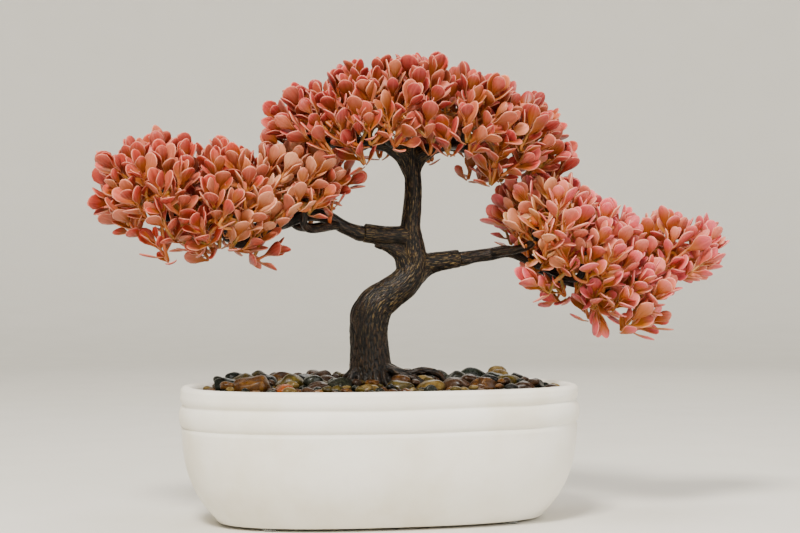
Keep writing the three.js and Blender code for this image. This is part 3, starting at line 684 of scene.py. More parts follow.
def moulded_stem():
    """The same soft polyethylene, left the ochre colour that it was moulded in: waxy, with
    olive and orange patches where the leaf tint has run down it."""
    material, surface = new_material("polyethylene_stem_moulded")
    place = (add(material, "TexCoord", {}), "Object")
    run = add(material, "TexNoise", {"Vector": place, "Scale": across(9), "Detail": 3.0, "Roughness": 0.6})
    ochre = add(
        material, "ValToRGB", {"Fac": run}, ramp=[(0.32, "6E5C18"), (0.48, "A86420"), (0.66, "B04A22")],
    )
    fine = add(material, "TexNoise", {"Vector": place, "Scale": across(0.8), "Detail": 2.0})
    waxy = add(material, "MapRange", {"Value": fine, "To Min": 0.34, "To Max": 0.52})
    ridged = add(material, "Bump", {"Height": fine, "Strength": 0.3, "Distance": 0.1 * MM})
    wire(material, surface, {
        "Base Color": ochre, "Roughness": waxy, "Normal": ridged,
        "Subsurface Weight": 0.15, "Subsurface Radius": (1.0, 0.5, 0.25),
        "Subsurface Scale": 0.8 * MM,
    })
    return material


def river_stone(name, colours, fleck, band_size, fleck_share):
    """River stone, tumbled and waxed: smooth, with a wet shine over mottled mineral bands,
    pale or rusty flecks, and small pits that the wax doesn't fill."""
    material, surface = new_material(name + "_river_stone_tumbled")
    place = (add(material, "TexCoord", {}), "Object")
    bands = add(material, "TexNoise", {
        "Vector": place, "Scale": across(band_size), "Detail": 6.0, "Roughness": 0.62, "Distortion": 0.9,
    })
    mineral = add(
        material, "ValToRGB", {"Fac": bands},
        ramp=[(0.3, colours[0]), (0.5, colours[1]), (0.72, colours[2])],
    )
    crystals = add(material, "TexNoise", {
        "Vector": place, "Scale": across(1.1), "Detail": 4.0, "Roughness": 0.7,
    })
    fleck_mask = add(material, "MapRange", {
        "Value": crystals, "From Min": 0.56, "From Max": 0.68, "To Max": fleck_share,
    })
    flecked = add(
        material, "Mix",
        {FACTOR: fleck_mask, COLOUR_A: mineral, COLOUR_B: linear(fleck)},
        data_type="RGBA",
    )
    wax = add(material, "MapRange", {
        "Value": crystals, "From Min": 0.35, "From Max": 0.7, "To Min": 0.2, "To Max": 0.5,
    })
    pits = add(material, "Bump", {"Height": crystals, "Strength": 0.35, "Distance": 0.25 * MM})
    wire(material, surface, {
        "Base Color": (flecked, MIXED), "Roughness": wax, "Normal": pits, "Specular IOR Level": 0.2,
    })
    return material


# ------------------------------------------------------------------ pot and what is under it

POT = {"half_length": 110.4, "half_depth": 65.5, "squareness": 2.5}
FOOT_Z = 1.6
LOWER_GROOVE = 53.9
UPPER_GROOVE = 65.9
RIM_HEIGHT = 74.4
FOOT_INSET = 19.7
BELLY = 3.37  # how late the side curves in to the foot
GROOVE_DEPTH = 2.2
BAND_STEP = 1.3  # from the bands in to the side under them
RIM_INSET = 0.8  # how far the rim's roll stands inside the second one
LIP_RADIUS = 3
WALL = 8
BOWL_FLOOR = 9.6
WAVY = 0.9  # the bands' share in the wander and sag of the clay
POT_POINTS = 240
BUMPER_X, BUMPER_Y = 66, 30  # from the pot's middle to a bumper's
BUMPER_SIDES = 48


def pot_ring(inset, z, sway=0.0):
    """One outline of the pot, an even step between its points. Sway is how far it shares in the
    bands' hand-laid wander and in their sag towards the middle and left."""
    fine = np.linspace(0, 2 * math.pi, 1441)
    across_x, across_y = np.cos(fine), np.sin(fine)
    power = 2 / POT["squareness"]
    x = (POT["half_length"] - inset) * np.sign(across_x) * np.abs(across_x) ** power
    y = (POT["half_depth"] - inset) * np.sign(across_y) * np.abs(across_y) ** power
    run = np.concatenate([[0], np.cumsum(np.hypot(np.diff(x), np.diff(y)))])
    wanted = np.linspace(0, run[-1], POT_POINTS, endpoint=False)
    x, y = np.interp(wanted, run, x), np.interp(wanted, run, y)
    wave = [noise.noise(Vector((a / 42, b / 42, 3.1))) for a, b in zip(x, y)]
    sag = 1.8 * np.clip((80 - x) / 60, 0, 1)
    return np.column_stack([x, y, z + sway * (np.array(wave) - sag)])


def side_inset(z):
    share = np.clip((UPPER_GROOVE - z) / (UPPER_GROOVE - FOOT_Z), 0, 1)
    return FOOT_INSET * share**BELLY


def rolled_band(low, high, steps=14):
    """Inset and height along one rolled band, full in its middle."""
    shares = np.linspace(0, 1, steps)
    depth = GROOVE_DEPTH * (1 - np.sqrt(np.sin(shares * math.pi).clip(0)))
    return [(float(d), low + (high - low) * s) for d, s in zip(depth, shares)]


def pot_piece():
    outline = [(26, FOOT_Z, 0), (21.6, FOOT_Z, 0), (20.6, 1.75, 0), (19.9, 2.3, 0)]
    outline += [(side_inset(z) + BAND_STEP, z, 0) for z in np.linspace(3.2, 52.6, 22)]
    outline += [(side_inset(LOWER_GROOVE) + 1.9, LOWER_GROOVE - 0.4, WAVY)]
    outline += [(d + 0.05, z, WAVY) for d, z in rolled_band(LOWER_GROOVE, UPPER_GROOVE)]
    outline += [(RIM_INSET + d, z, WAVY) for d, z in rolled_band(UPPER_GROOVE, 74.0)[1:10]]
    for turn in np.linspace(0.15, 1, 9) * math.pi / 2:
        inset = RIM_INSET + LIP_RADIUS - 2.9 * math.cos(turn)
        outline.append((inset, RIM_HEIGHT - 3.1 + LIP_RADIUS * math.sin(turn), 0))
    outline += [(4.6, RIM_HEIGHT - 0.05, 0), (5.8, 74.1, 0), (6.8, 73.4, 0), (7.6, 72.2, 0)]
    outline += [(WALL, 70.4, 0)]
    outline += [(side_inset(z) + WALL, z, 0) for z in np.linspace(66, 12, 14)]
    outline += [(30, BOWL_FLOOR, 0)]
    rings = [pot_ring(*row) for row in outline]
    points = np.vstack(rings + [[[0, 0, FOOT_Z]], [[0, 0, BOWL_FLOOR]]])
    piece = make_piece("white_pot", points, skin_faces(len(rings), POT_POINTS), [bisque_ceramic()])
    return part_of_object(piece, "white_ceramic", "pot")


def bumper_piece(number, side_x, side_y, material):
    """A clear dome with a flat sole, stuck under the pot."""
    profile = [(3.4, 0), (3.75, 0.12), (4.0, 0.45), (3.98, 1.0), (3.9, 1.3)]
    rings = [level_ring(radius, z, BUMPER_SIDES) for radius, z in profile]
    points = np.vstack(rings + [[[0, 0, 0]], [[0, 0, profile[-1][1]]]])
    points = points + [side_x * BUMPER_X, side_y * BUMPER_Y, 0]
    faces = skin_faces(len(rings), BUMPER_SIDES)
    piece = make_piece(f"clear_bumper_{number}", points, faces, [material])
    return part_of_object(piece, "clear_pad", f"bumper_pad_{number}")


pot_piece()
vinyl = clear_vinyl()
for number, (side_x, side_y) in enumerate([(-1, -1), (1, -1), (-1, 1), (1, 1)], start=1):
    bumper_piece(number, side_x, side_y, vinyl)
frame["nodes"]["filler_block"].material_slots[0].material = cast_cement()


# ------------------------------------------------------------------ trunk and branches

SOCKET_WIDER = 0.25
trunk_bark = stained_bark("pvc_bark_stained_trunk", ("020101", "0B0704", "2B1C10"), 0.65, 0.36)
branch_bark = stained_bark("pvc_bark_stained_branches", ("030202", "120C0A", "362820"), 0.6, 0.28)


def socket(branch_name):
    radius, depth = BRANCHES[branch_name]["plug"]
    return radius + SOCKET_WIDER, depth + SOCKET_WIDER


trunk_limbs = [(TRUNK_LINE, None)]
trunk_limbs += [(branch["arm"], socket(name)) for name, branch in BRANCHES.items()]
trunk_limbs += [(limb, None) for limb in WEBS + ROOTS + foot_strips()]
trunk_limbs += twigs_and_pegs("trunk")
trunk = barked("bent_trunk", trunk_limbs, 0.5, trunk_bark, voxel=0.47, rounds=5)
part_of_object(trunk, "bark", "trunk")

wood = [trunk]
for name in BRANCHES:
    limbs = [(plug_line(name), None), (branch_line(name), None)] + twigs_and_pegs(name)
    bough = barked(name.replace("branch", "bough"), limbs, 0.3, branch_bark, voxel=0.42, rounds=6)
    wood.append(part_of_object(bough, "branch_bark", name))


# ------------------------------------------------------------------ foliage: one leaf

EDGE_POINTS = 16
LEAF_THICKNESS = 0.7
LEAF_MIDDLE = 0.64  # along the leaf
# Rings from the upper side over the rim to the under side: share of the way to the edge,
# share of half the thickness.
LEAF_RINGS = [(0.5, 1), (0.82, 0.95), (0.95, 0.7), (1, 0), (0.95, -0.7), (0.55, -1)]


def leaf_outline():
    """Across (in half widths) and along (0 at the heel, 1 at the tip) round a spoon shape."""
    turns = np.arange(EDGE_POINTS) / EDGE_POINTS * 2 * math.pi
    along = (1 - np.cos(turns)) / 2
    rounded = np.sin(math.pi * along**2).clip(0) ** (1.25 - 0.75 * along)
    return np.column_stack([np.sign(np.sin(turns)) * (0.15 * (1 - along) + rounded), along])


def leaf_template():
    """Rows of across, along, thickness share and nearness to the edge, with their faces."""
    outline = leaf_outline()
    rows = []
    for share, lift in LEAF_RINGS:
        ring = [0, LEAF_MIDDLE] + (outline - [0, LEAF_MIDDLE]) * share
        rows.append(np.column_stack([ring, np.full(EDGE_POINTS, lift), np.full(EDGE_POINTS, share)]))
    rows.append(np.array([[0, LEAF_MIDDLE, 1, 0], [0, LEAF_MIDDLE, -1, 0]]))
    return np.vstack(rows), skin_faces(len(LEAF_RINGS), EDGE_POINTS)


LEAF_ROWS, LEAF_FACES = leaf_template()
# The few points that stand for a leaf where the room round it is measured: most of its rim,
# three of the first ring and its upper middle.
RIM_START = LEAF_RINGS.index((1, 0)) * EDGE_POINTS
FEELERS = [RIM_START + i for i in (2, 4, 5, 6, 7, 8, 9, 10, 11, 12, 14)]
FEELERS += [4, 8, 12, len(LEAF_RINGS) * EDGE_POINTS]
LEAF_START = 0.28  # from the axis of a sprig to the heel of a leaf


def bent_leaf(rows, leaf, foot, axis, outward):
    """Points of a leaf that leaves the stem at an angle, then curls up towards the axis."""
    sideways = np.cross(axis, outward)
    x = rows[:, 0] * leaf["half_width"] * (1 + leaf["taper"] * (0.6 - rows[:, 1]))
    lift = rows[:, 2] * LEAF_THICKNESS / 2 * leaf["length"] / 12
    lift = lift + leaf["cup"] * rows[:, 0] ** 2 * np.sin(rows[:, 1] * math.pi * 0.8).clip(0)
    cosine, sine = math.cos(leaf["roll"]), math.sin(leaf["roll"])
    x, lift = x * cosine - lift * sine, x * sine + lift * cosine
    start, curl = leaf["angle"] + leaf["curl"] * 0.4, leaf["curl"]
    angle = start - curl * rows[:, 1]
    out = leaf["length"] / curl * (np.cos(angle) - math.cos(start)) + LEAF_START
    up = leaf["length"] / curl * (math.sin(start) - np.sin(angle))
    out = out - lift * np.cos(angle)
    up = up + lift * np.sin(angle)
    return foot + x[:, None] * sideways + out[:, None] * outward + up[:, None] * axis


# ------------------------------------------------------------------ foliage: sprigs on pads

GOLDEN_ANGLE = math.pi * (3 - math.sqrt(5))
SPRIG_GAP = 11.6  # between the feet of two sprigs
SHELLS = (1, 0.55)  # sizes of the layers of sprigs in a lobe, as shares of its half axes
CANDIDATES = 620  # places tried on each lobe
BURIED = 0.88  # a foot is inside another lobe below this share of its square radius
UNDERSIDE = -0.1  # below this height on a lobe, no sprig stands within CORRIDOR of the middle
CORRIDOR = 7
HUB_ROOM = 8  # from the line under a hub
BRANCH_ROOM = 7
UPWARD_PULL = 0.45
FAN_FLATNESS = 0.5  # how much of its lean to the front or back a sprig keeps
FAN_DEPTH = 0.6  # from a lobe's middle down to where its sprigs fan out from, in half heights
RAGGED = (-4, 1.6)  # how far in or out of its pad's round outline a sprig stands
SWAY = 0.3  # how far a sprig's axis leans out of line at random
LEAF_ROOM = 0.9  # between the feelers of two leaves
WOOD_ROOM = 1.2  # between a leaf's feelers and the wood
NEIGHBOURS = 30  # feelers further than this from a sprig's foot are no leaf's neighbours
WAYS = 6  # in which a sprig is turned and opened, to find the one with the most room
AMPLE_ROOM = 2.5  # more than this counts no further
FEWEST_LEAVES = 3

# Leaf pairs of a sprig from the lowest: place along the axis, length, degrees from the axis.
LEAF_PAIRS = [(-12, 12.5, 52), (-7.4, 14, 42), (-2.8, 14.5, 30), (0.5, 13, 15)]

# Each lobe is its centre, half axes and how far down it has leaves. Sprigs lean away from the
# fan's middle. A loose sprig is the foot and axis of one that stands out of the pad's outline.
# A pale spot is the x, y and z of its middle, its radius and how pale the leaves are there.
PADS = {
    "left": {
        "branches": ["left_branch"], "slot": "coral_foliage", "fan": (-88, 0, 140),
        "lobes": [
            [(-123, 0, 178), (27, 34, 23), -0.65], [(-88, 0, 172), (30, 42, 26), -0.9],
            [(-53, 0, 178), (26, 36, 21), -0.5],
        ],
        "loose": [
            [(-64, -14, 146), (0.8, -0.2, 0.4)], [(-147, -8, 172), (-0.9, -0.1, 0.1)],
            [(-124, -22, 150), (-0.5, -0.4, 0.7)], [(-21, -6, 183), (0.8, -0.1, 0.5)],
        ],
        "pale_spots": [
            [(-60, -25, 178), 20, 0.75], [(-45, -15, 192), 14, 0.4], [(-88, -35, 160), 12, 0.4],
        ],
    },
    "crown": {
        "branches": ["crown_left_branch", "trunk", "crown_right_branch"], "slot": "pink_foliage",
        "fan": (18, 0, 178),
        "lobes": [
            [(-33, 0, 211), (24, 34, 18), -0.5], [(-13, 0, 217), (24, 38, 23), -0.3],
            [(12, 0, 218), (32, 42, 29), -0.35], [(44, 0, 214), (32, 42, 27), -0.45],
            [(72, 0, 205), (24, 34, 22), -0.5], [(88, 4, 193), (14, 24, 13), -0.4],
        ],
        "loose": [
            [(-54, -10, 213), (-0.95, -0.1, 0.3)], [(28, -34, 208), (-0.3, -0.5, 0.8)],
        ],
        "pale_spots": [[(-5, -35, 226), 14, 0.45], [(52, -35, 222), 15, 0.4]],
    },
    "right": {
        "branches": ["right_branch"], "slot": "rose_foliage", "fan": (104, 0, 112),
        "lobes": [
            [(92, -4, 160), (22, 36, 25), -0.55], [(116, 0, 145), (28, 38, 25), -0.85],
            [(136, -8, 124), (22, 24, 15), -0.9], [(172, 0, 146), (22, 24, 14), -0.8],
        ],
        "loose": [
            [(184, -6, 138), (0.85, -0.1, 0.45)], [(121, -14, 112), (0.2, -0.15, -1)],
            [(153, -10, 107), (0.85, -0.15, 0.35)], [(82, -22, 130), (-0.8, -0.3, 0.5)],
            [(165, -6, 159), (-0.2, -0.1, 1)], [(78, -18, 150), (-0.3, -0.75, 0.45)],
            [(88, -22, 143), (0, -0.75, 0.45)], [(99, -24, 136), (0.1, -0.8, 0.35)],
        ],
        "pale_spots": [
            [(80, -25, 158), 18, 0.65], [(98, -20, 178), 14, 0.35], [(84, -26, 143), 10, 0.5],
        ],
    },
}


def hubs_of(pad):
    return [hub for name in pad["branches"] for hub in hubs_on(name)]


def wood_in(pad):
    """Points 2 mm apart along the branches and twigs in a pad."""
    lines = [branch_line(name) for name in pad["branches"] if name != "trunk"]
    lines += [twig_line(name, hub) for name in pad["branches"] for hub in hubs_on(name)]
    return np.vstack([smooth_line(line, 2.0)[:, :3] for line in lines])


def sprigs_of(pad):
    """Foot and axis of each sprig, on a spiral down each lobe, clear of the others and wood."""
    wood_points = wood_in(pad)
    hubs = hubs_of(pad)
    feet = [np.array(foot, float) for foot, _ in pad["loose"]]
    axes = [unit(axis) for _, axis in pad["loose"]]
    for scale, (centre, full, lowest) in [(scale, lobe) for scale in SHELLS for lobe in pad["lobes"]]:
        half = np.array(full) * scale
        others = [lobe for lobe in pad["lobes"] if lobe[0] != centre]
        for i in range(CANDIDATES):
            height = 1 - (1 - lowest) * (i + 0.5) / CANDIDATES
            level = math.sqrt(1 - height**2)
            outward = np.array([
                level * math.cos(i * GOLDEN_ANGLE), level * math.sin(i * GOLDEN_ANGLE), height,
            ])
            foot = np.array(centre) + outward * half
            if feet and np.linalg.norm(np.array(feet) - foot, axis=1).min() < SPRIG_GAP:
                continue
            if any((((foot - other) / size / scale) ** 2).sum() < BURIED for other, size, _ in others):
                continue
            if height < UNDERSIDE and abs(foot[1]) < CORRIDOR:
                continue
            if any(foot[2] < hub[0][2] + 3 and math.dist(foot[:2], hub[0][:2]) < HUB_ROOM for hub in hubs):
                continue
            if np.linalg.norm(wood_points - foot, axis=1).min() < BRANCH_ROOM:
                continue
            fan = unit(foot - centre + [0, 0, FAN_DEPTH * half[2]]) + unit(foot - pad["fan"])
            fan[1] *= FAN_FLATNESS
            sway = [dice.gauss(0, SWAY) for _ in range(3)]
            axis = unit(unit(fan) + [0, 0, UPWARD_PULL] + sway)
            feet.append(foot + axis * dice.uniform(*RAGGED))
            axes.append(axis)
    return feet, axes


def sprig_leaves(axis, spin, opening):
    """The leaves of one sprig: crossed pairs, smaller and steeper towards the tip."""
    side = unit(np.cross(axis, [0.3, 0.9, 0.1]))
    front = np.cross(axis, side)
    leaves = []
    for number, (place, length, degrees) in enumerate(LEAF_PAIRS):
        for half_turn in (0, math.pi):
            turn = spin + number * math.pi / 2 + half_turn + dice.uniform(-0.3, 0.3)
            long = length * dice.uniform(0.8, 1.15)
            leaves.append({
                "outward": side * math.cos(turn) + front * math.sin(turn),
                "place": place + dice.uniform(-0.6, 0.6), "length": long,
                "half_width": long * dice.uniform(0.25, 0.33), "cup": dice.uniform(0.3, 1.5),
                "taper": dice.uniform(-0.1, 0.6),
                "roll": dice.uniform(-0.35, 0.35), "curl": math.radians(dice.uniform(6, 40)),
                "angle": math.radians(degrees * opening + dice.uniform(-9, 9)),
            })
    return leaves


def shaped(rows, leaf, foot, axis):
    return bent_leaf(rows, leaf, foot + leaf["place"] * axis, axis, leaf["outward"])


class Room:
    """Feelers of the leaves placed so far, to ask how much room a new leaf has."""

    def __init__(self, trees):
        self.points = np.zeros((0, 3))
        self.trees = trees

    def near(self, foot):
        away = np.linalg.norm(self.points - foot, axis=1)
        return self.points[away < NEIGHBOURS]

    def add(self, feelers):
        self.points = np.vstack([self.points, feelers])

    def wood_distance(self, feelers):
        return min(tree.find_nearest(Vector(p))[3] for tree in self.trees for p in feelers)


def clearance(feelers, near):
    if not len(near):
        return NEIGHBOURS
    return float(np.sqrt(((feelers[:, None] - near[None]) ** 2).sum(2)).min())


EDGE_ROOM = 0.3  # inside the frame's own box
LOW_LIMIT = (np.array(cad_low) - POT_MIDDLE) / MM + EDGE_ROOM
HIGH_LIMIT = (np.array(cad_high) - POT_MIDDLE) / MM - EDGE_ROOM


def placed_sprig(foot, axis, room):
    """The sprig's leaves that have room, from a few ways to turn and open it."""
    near = room.near(foot)
    best, best_score = [], -1.0
    for _ in range(WAYS):
        leaves = sprig_leaves(axis, dice.uniform(0, math.pi), dice.uniform(0.78, 1.25))
        score = 0.0
        for leaf in leaves:
            leaf["feelers"] = shaped(LEAF_ROWS[FEELERS], leaf, foot, axis)
            leaf["room"] = clearance(leaf["feelers"], near)
            score += min(leaf["room"], AMPLE_ROOM)
        if score > best_score:
            best, best_score = leaves, score
    kept = []
    for leaf in best:
        inside = (leaf["feelers"] > LOW_LIMIT).all() and (leaf["feelers"] < HIGH_LIMIT).all()
        if leaf["room"] > LEAF_ROOM and inside and room.wood_distance(leaf["feelers"]) > WOOD_ROOM:
            kept.append(leaf)
    if len(kept) < FEWEST_LEAVES:
        return []
    for leaf in kept:
        room.add(leaf["feelers"])
    return kept


# ------------------------------------------------------------------ foliage: sprays

HUB_RING = {"inner": 2.05, "outer": 3.4, "height": 5, "start": 4.2, "softness": 0.4, "sides": 20}
STEM_SIDES = 8


def hub_ring(hub):
    """The ring of a spray, pushed over its peg: rows round a closed profile."""
    inner, outer, height, start, soft, sides = HUB_RING.values()
    up = hub_up(hub)
    side = unit(np.cross(up, [1, 0, 0]))
    other = np.cross(up, side)
    turns = np.arange(sides) / sides * 2 * math.pi
    profile = [
        (inner, soft), (inner, height - soft), (inner + soft, height), (outer - soft, height),
        (outer, height - soft), (outer, soft), (outer - soft, 0), (inner + soft, 0),
    ]
    rings = []
    for radius, rise in profile:
        level = np.array(hub[0]) + (start + rise) * up
        rings.append(level + radius * (np.cos(turns)[:, None] * side + np.sin(turns)[:, None] * other))
    faces = skin_faces(len(profile) + 1, sides, closed=False)
    points = np.vstack(rings)
    return points, [tuple(i % len(points) for i in reversed(face)) for face in faces]


def stem_groups(hub, sprigs):
    """Sprigs that share a main stem: neighbours in their direction from the ring, by threes."""
    up = hub_up(hub)
    side = unit(np.cross(up, [0.2, 1, 0]))
    other = np.cross(up, side)
    middle = np.array(hub[0]) + (HUB_RING["start"] + HUB_RING["height"] / 2) * up

    def bearing(sprig):
        away = sprig["foot"] - middle
        return math.atan2(away.dot(other), away.dot(side))

    turned = sorted(sprigs, key=bearing)
    return middle, [turned[i:i + 3] for i in range(0, len(turned), 3)]


def spray_stems(hub, sprigs):
    """Main stems that run out from the ring and hook up, each forking to its sprigs."""
    parts = [hub_ring(hub)]
    if not sprigs:
        return parts
    up = hub_up(hub)
    middle, groups = stem_groups(hub, sprigs)
    for group in groups:
        feet = np.mean([sprig["foot"] for sprig in group], axis=0)
        aim = feet - middle
        flat = aim - aim.dot(up) * up
        out = unit(flat + 1e-6)
        reach = min(9.0, 3.4 + 0.35 * np.linalg.norm(flat))
        rise = np.clip(aim.dot(up), -14, 6)
        start = middle + out * 2.9 + up * dice.uniform(-1.4, 1.4)
        fork = middle + out * max(reach, 0.5 * np.linalg.norm(flat)) + up * (0.42 * rise - 1.2)
        elbow = middle + out * reach * 0.75 + up * (0.1 * rise - 1.4)
        main = [[*start, 1.3], [*elbow, 1.15], [*fork, 1.0]]
        parts.append(rod(smooth_line(main, 1.6), STEM_SIDES))
        for sprig in group:
            foot, axis = sprig["foot"], sprig["axis"]
            below = foot - 10.5 * axis
            bow = (fork + below) / 2 + 0.22 * np.linalg.norm(below - fork) * unit(out - 0.5 * up)
            line = [
                [*(fork - out * 0.6), 1.0], [*bow, 0.95], [*below, 0.9], [*(foot - 4 * axis), 0.8],
                [*(foot + 2.2 * axis), 0.5],
            ]
            parts.append(rod(smooth_line(line, 1.6), STEM_SIDES))
    return parts


def spray_piece(name, node, slot_name, hub, sprigs, materials):
    """A spray's ring, stems and leaves as one piece, with each leaf's own coordinates and tone."""
    stem_points, stem_faces = gathered(spray_stems(hub, sprigs))
    points, faces = [stem_points], list(stem_faces)
    blade, tone = [np.zeros((len(stem_points), 3))], [np.zeros((len(stem_points), 3))]
    start = len(stem_points)
    for sprig in sprigs:
        for leaf in sprig["leaves"]:
            points.append(shaped(LEAF_ROWS, leaf, sprig["foot"], sprig["axis"]))
            blade.append(LEAF_ROWS[:, [0, 1, 3]])
            paleness = min(1, max(0, sprig["paleness"] + dice.uniform(-0.3, 0.34)))
            warmth = 0.46 + sprig["warmth"] + dice.uniform(-0.22, 0.26)
            # The under side takes a share of the deep colour as painted shade.
            under = np.where(LEAF_ROWS[:, 2] < -0.1, 0.35, 0.0)
            tone.append(np.column_stack([
                np.full(len(LEAF_ROWS), paleness), np.full(len(LEAF_ROWS), warmth), under,
            ]))
            faces += [tuple(start + i for i in face) for face in LEAF_FACES]
            start += len(LEAF_ROWS)
    face_slots = [0] * len(stem_faces) + [1] * (len(faces) - len(stem_faces))
    piece = make_piece(
        name, np.vstack(points), faces, materials, face_slots,
        {"blade": np.vstack(blade), "tone": np.vstack(tone)},
    )
    return part_of_object(piece, slot_name, node)


def paleness_at(pad, foot):
    """How pale the leaves at a foot are, from the pad's pale spots."""
    return sum(
        share * math.exp(-((math.dist(foot, middle) / radius) ** 2))
        for middle, radius, share in pad["pale_spots"]
    )


def tree_of(piece):
    """A search tree of a piece's skin, in millimetres."""
    places = np.zeros(len(piece.data.vertices) * 3)
    piece.data.vertices.foreach_get("co", places)
    points = (places.reshape(-1, 3) - POT_MIDDLE) / MM
    faces = [tuple(face.vertices) for face in piece.data.polygons]
    return BVHTree.FromPolygons(points.tolist(), faces)


stem_material = moulded_stem()
# Body, deep, tip, pale and heel colours of each pad's leaves.
LEAF_TINTS = {
    "left": ("coral", ["A02008", "480A04", "CC4838", "E4A278", "9E5410"]),
    "crown": ("pink", ["98200E", "440A04", "CA4646", "E0905E", "98500E"]),
    "right": ("rose", ["D24642", "8A2422", "EC6E7C", "E4B676", "AA6614"]),
}
room = Room([tree_of(piece) for piece in wood])
for pad_name, pad in PADS.items():
    tint_name, tints = LEAF_TINTS[pad_name]
    materials = [stem_material, moulded_leaf("polyethylene_leaf_" + tint_name, *tints)]
    hubs = hubs_of(pad)
    shares = [[] for _ in hubs]
    for foot, axis in zip(*sprigs_of(pad)):
        leaves = placed_sprig(foot, axis, room)
        if leaves:
            nearest = min(range(len(hubs)), key=lambda i: math.dist(foot, hubs[i][0]))
            shares[nearest].append({
                "foot": foot, "axis": axis, "leaves": leaves, "paleness": paleness_at(pad, foot),
                "warmth": 0.3 * noise.noise(Vector(foot / 25)),
            })
    for number, (hub, sprigs) in enumerate(zip(hubs, shares), start=1):
        name, node = f"{pad_name}_foliage_{number}", f"{pad_name}_spray_{number}"
        spray_piece(name, node, pad["slot"], hub, sprigs, materials)


# ------------------------------------------------------------------ pebbles

# Each stone's dark, middle and light mineral, its flecks, its bands' size in millimetres and how
# much the flecks show.
STONE_LOOKS = {
    "bottle_green": [("050805", "0B100A", "1A2016"), "3A4230", 7, 0.3],
    "amber": [("1C1006", "44280C", "6E4A1A"), "180B06", 6, 0.5],
    "orange": [("4A200A", "7C3A0A", "9E561A"), "301606", 6, 0.4],
    "black": [("030302", "080906", "12130E"), "2A2A20", 9, 0.2],
    "olive": [("1A1608", "382E0E", "5C4E1C"), "6E4A16", 5, 0.5],
    "red_brown": [("120A05", "28180C", "442C18"), "5E4A2E", 5, 0.4],
    "slate": [("080906", "14160F", "282A1E"), "424430", 6, 0.35],
    "sand": [("34260F", "5C4820", "7E6C40"), "3C3A18", 5, 0.5],
}
STONES = {kind: river_stone(kind, *look) for kind, look in STONE_LOOKS.items()}


def ball(levels):
    """Unit sphere points and faces, evenly spread."""
    shape = bmesh.new()
    bmesh.ops.create_icosphere(shape, subdivisions=levels, radius=1)
    points = np.array([vertex.co[:] for vertex in shape.verts])
    faces = [tuple(vertex.index for vertex in face.verts) for face in shape.faces]
    shape.free()
    return points, faces


BIG_BALL = ball(5)
SMALL_BALL = ball(3)
PROBE = ball(2)[0]  # stands for a small stone while it falls
FLATS = 7  # worn on each stone


def tumbled(points, centre, axes, number):
    """A unit sphere's points worn into a stone: a few soft flats, slow bulges, and its axes."""
    worn = points.copy()
    for _ in range(FLATS):
        normal = unit([dice.gauss(0, 1) for _ in range(3)])
        beyond = (worn @ normal - dice.uniform(0.66, 0.9)).clip(0)
        worn -= 0.8 * beyond[:, None] * normal
    bulges = np.array([noise.noise(Vector(p * 1.3 + number * 7.7)) for p in worn])
    worn *= (0.97 + 0.16 * bulges)[:, None]
    return centre + worn / np.abs(worn).max(axis=0) @ axes


def cad_stone(number):
    """Centre and half axes (as rows) of a CAD pebble, from the spread of its corners."""
    mesh = frame["nodes"][f"pebble_{number}"].data
    corners = np.array([vertex.co[:] for vertex in mesh.vertices])
    corners = (np.unique(corners.round(6), axis=0) - POT_MIDDLE) / MM
    centre = corners.mean(axis=0)
    spread, directions = np.linalg.eigh(np.cov((corners - centre).T))
    return centre, (directions * np.sqrt(3 * spread)).T


bed = []  # what a stone can fall on: its search tree, its middle and its reach from above


def reach_of(points):
    return np.linalg.norm(points[:, :2] - points[:, :2].mean(axis=0), axis=1).max()


slot_of_pebble = {sub["node"]: sub["material_slot"] for sub in frame["record"]["subparts"]}
pebble_count = sum(name.startswith("pebble_") for name in frame["nodes"])
for number in range(1, pebble_count + 1):
    slot_name = slot_of_pebble[f"pebble_{number}"]
    centre, axes = cad_stone(number)
    points = tumbled(BIG_BALL[0], centre, axes, number)
    stone = STONES[slot_name.removesuffix("_stone")]
    piece = make_piece(f"river_pebble_{number}", points, BIG_BALL[1], [stone])
    part_of_object(piece, slot_name, f"pebble_{number}")
    bed.append((tree_of(piece), centre, reach_of(points)))
bed.append((room.trees[0], np.zeros(3), 200))

FILLER_TOP = 68
BED_LENGTH, BED_DEPTH = 101.8, 57  # from the middle to the pot's wall
TRUNK_FOOT = {"x": -5.5, "radius": 15}
DOWN = Vector((0, 0, -1))
DROP_HEIGHT = 92  # where a small stone falls from
LIFT = 0.15  # over the filler
SINK = 0.12  # by which a stone settles into the ones under it

# The smaller stones in the order that they are laid: how many places are tried, their half
# lengths, and how high the middle of one may lie in the front row and behind it.
LAYERS = [
    {"tries": 3200, "long": (3.0, 5.0), "front": 73.6, "behind": 74.5},
    {"tries": 1400, "long": (5.2, 7.6), "front": 73.5, "behind": 77.8},
    {"tries": 2200, "long": (2.6, 4.4), "front": 75, "behind": 77},
]
FRONT_ROW = -30  # y
BED_ENDS = (-88, 82)  # x beyond which the bed drops below the rim
END_HEIGHT = 71.6


def fall_of(points):
    """How far a stone can fall onto the bed, from rays down from its under side."""
    fall = points[:, 2].min() - FILLER_TOP - LIFT
    middle, reach = points.mean(axis=0), reach_of(points)
    under = [Vector(point) for point in points[points[:, 2] < middle[2] + 0.5]]
    for tree, other_middle, other_reach in bed:
        if math.dist(middle[:2], other_middle[:2]) < reach + other_reach:
            for point in under:
                hit = tree.ray_cast(point, DOWN, fall)
                if hit[3] is not None:
                    fall = min(fall, hit[3])
    return fall


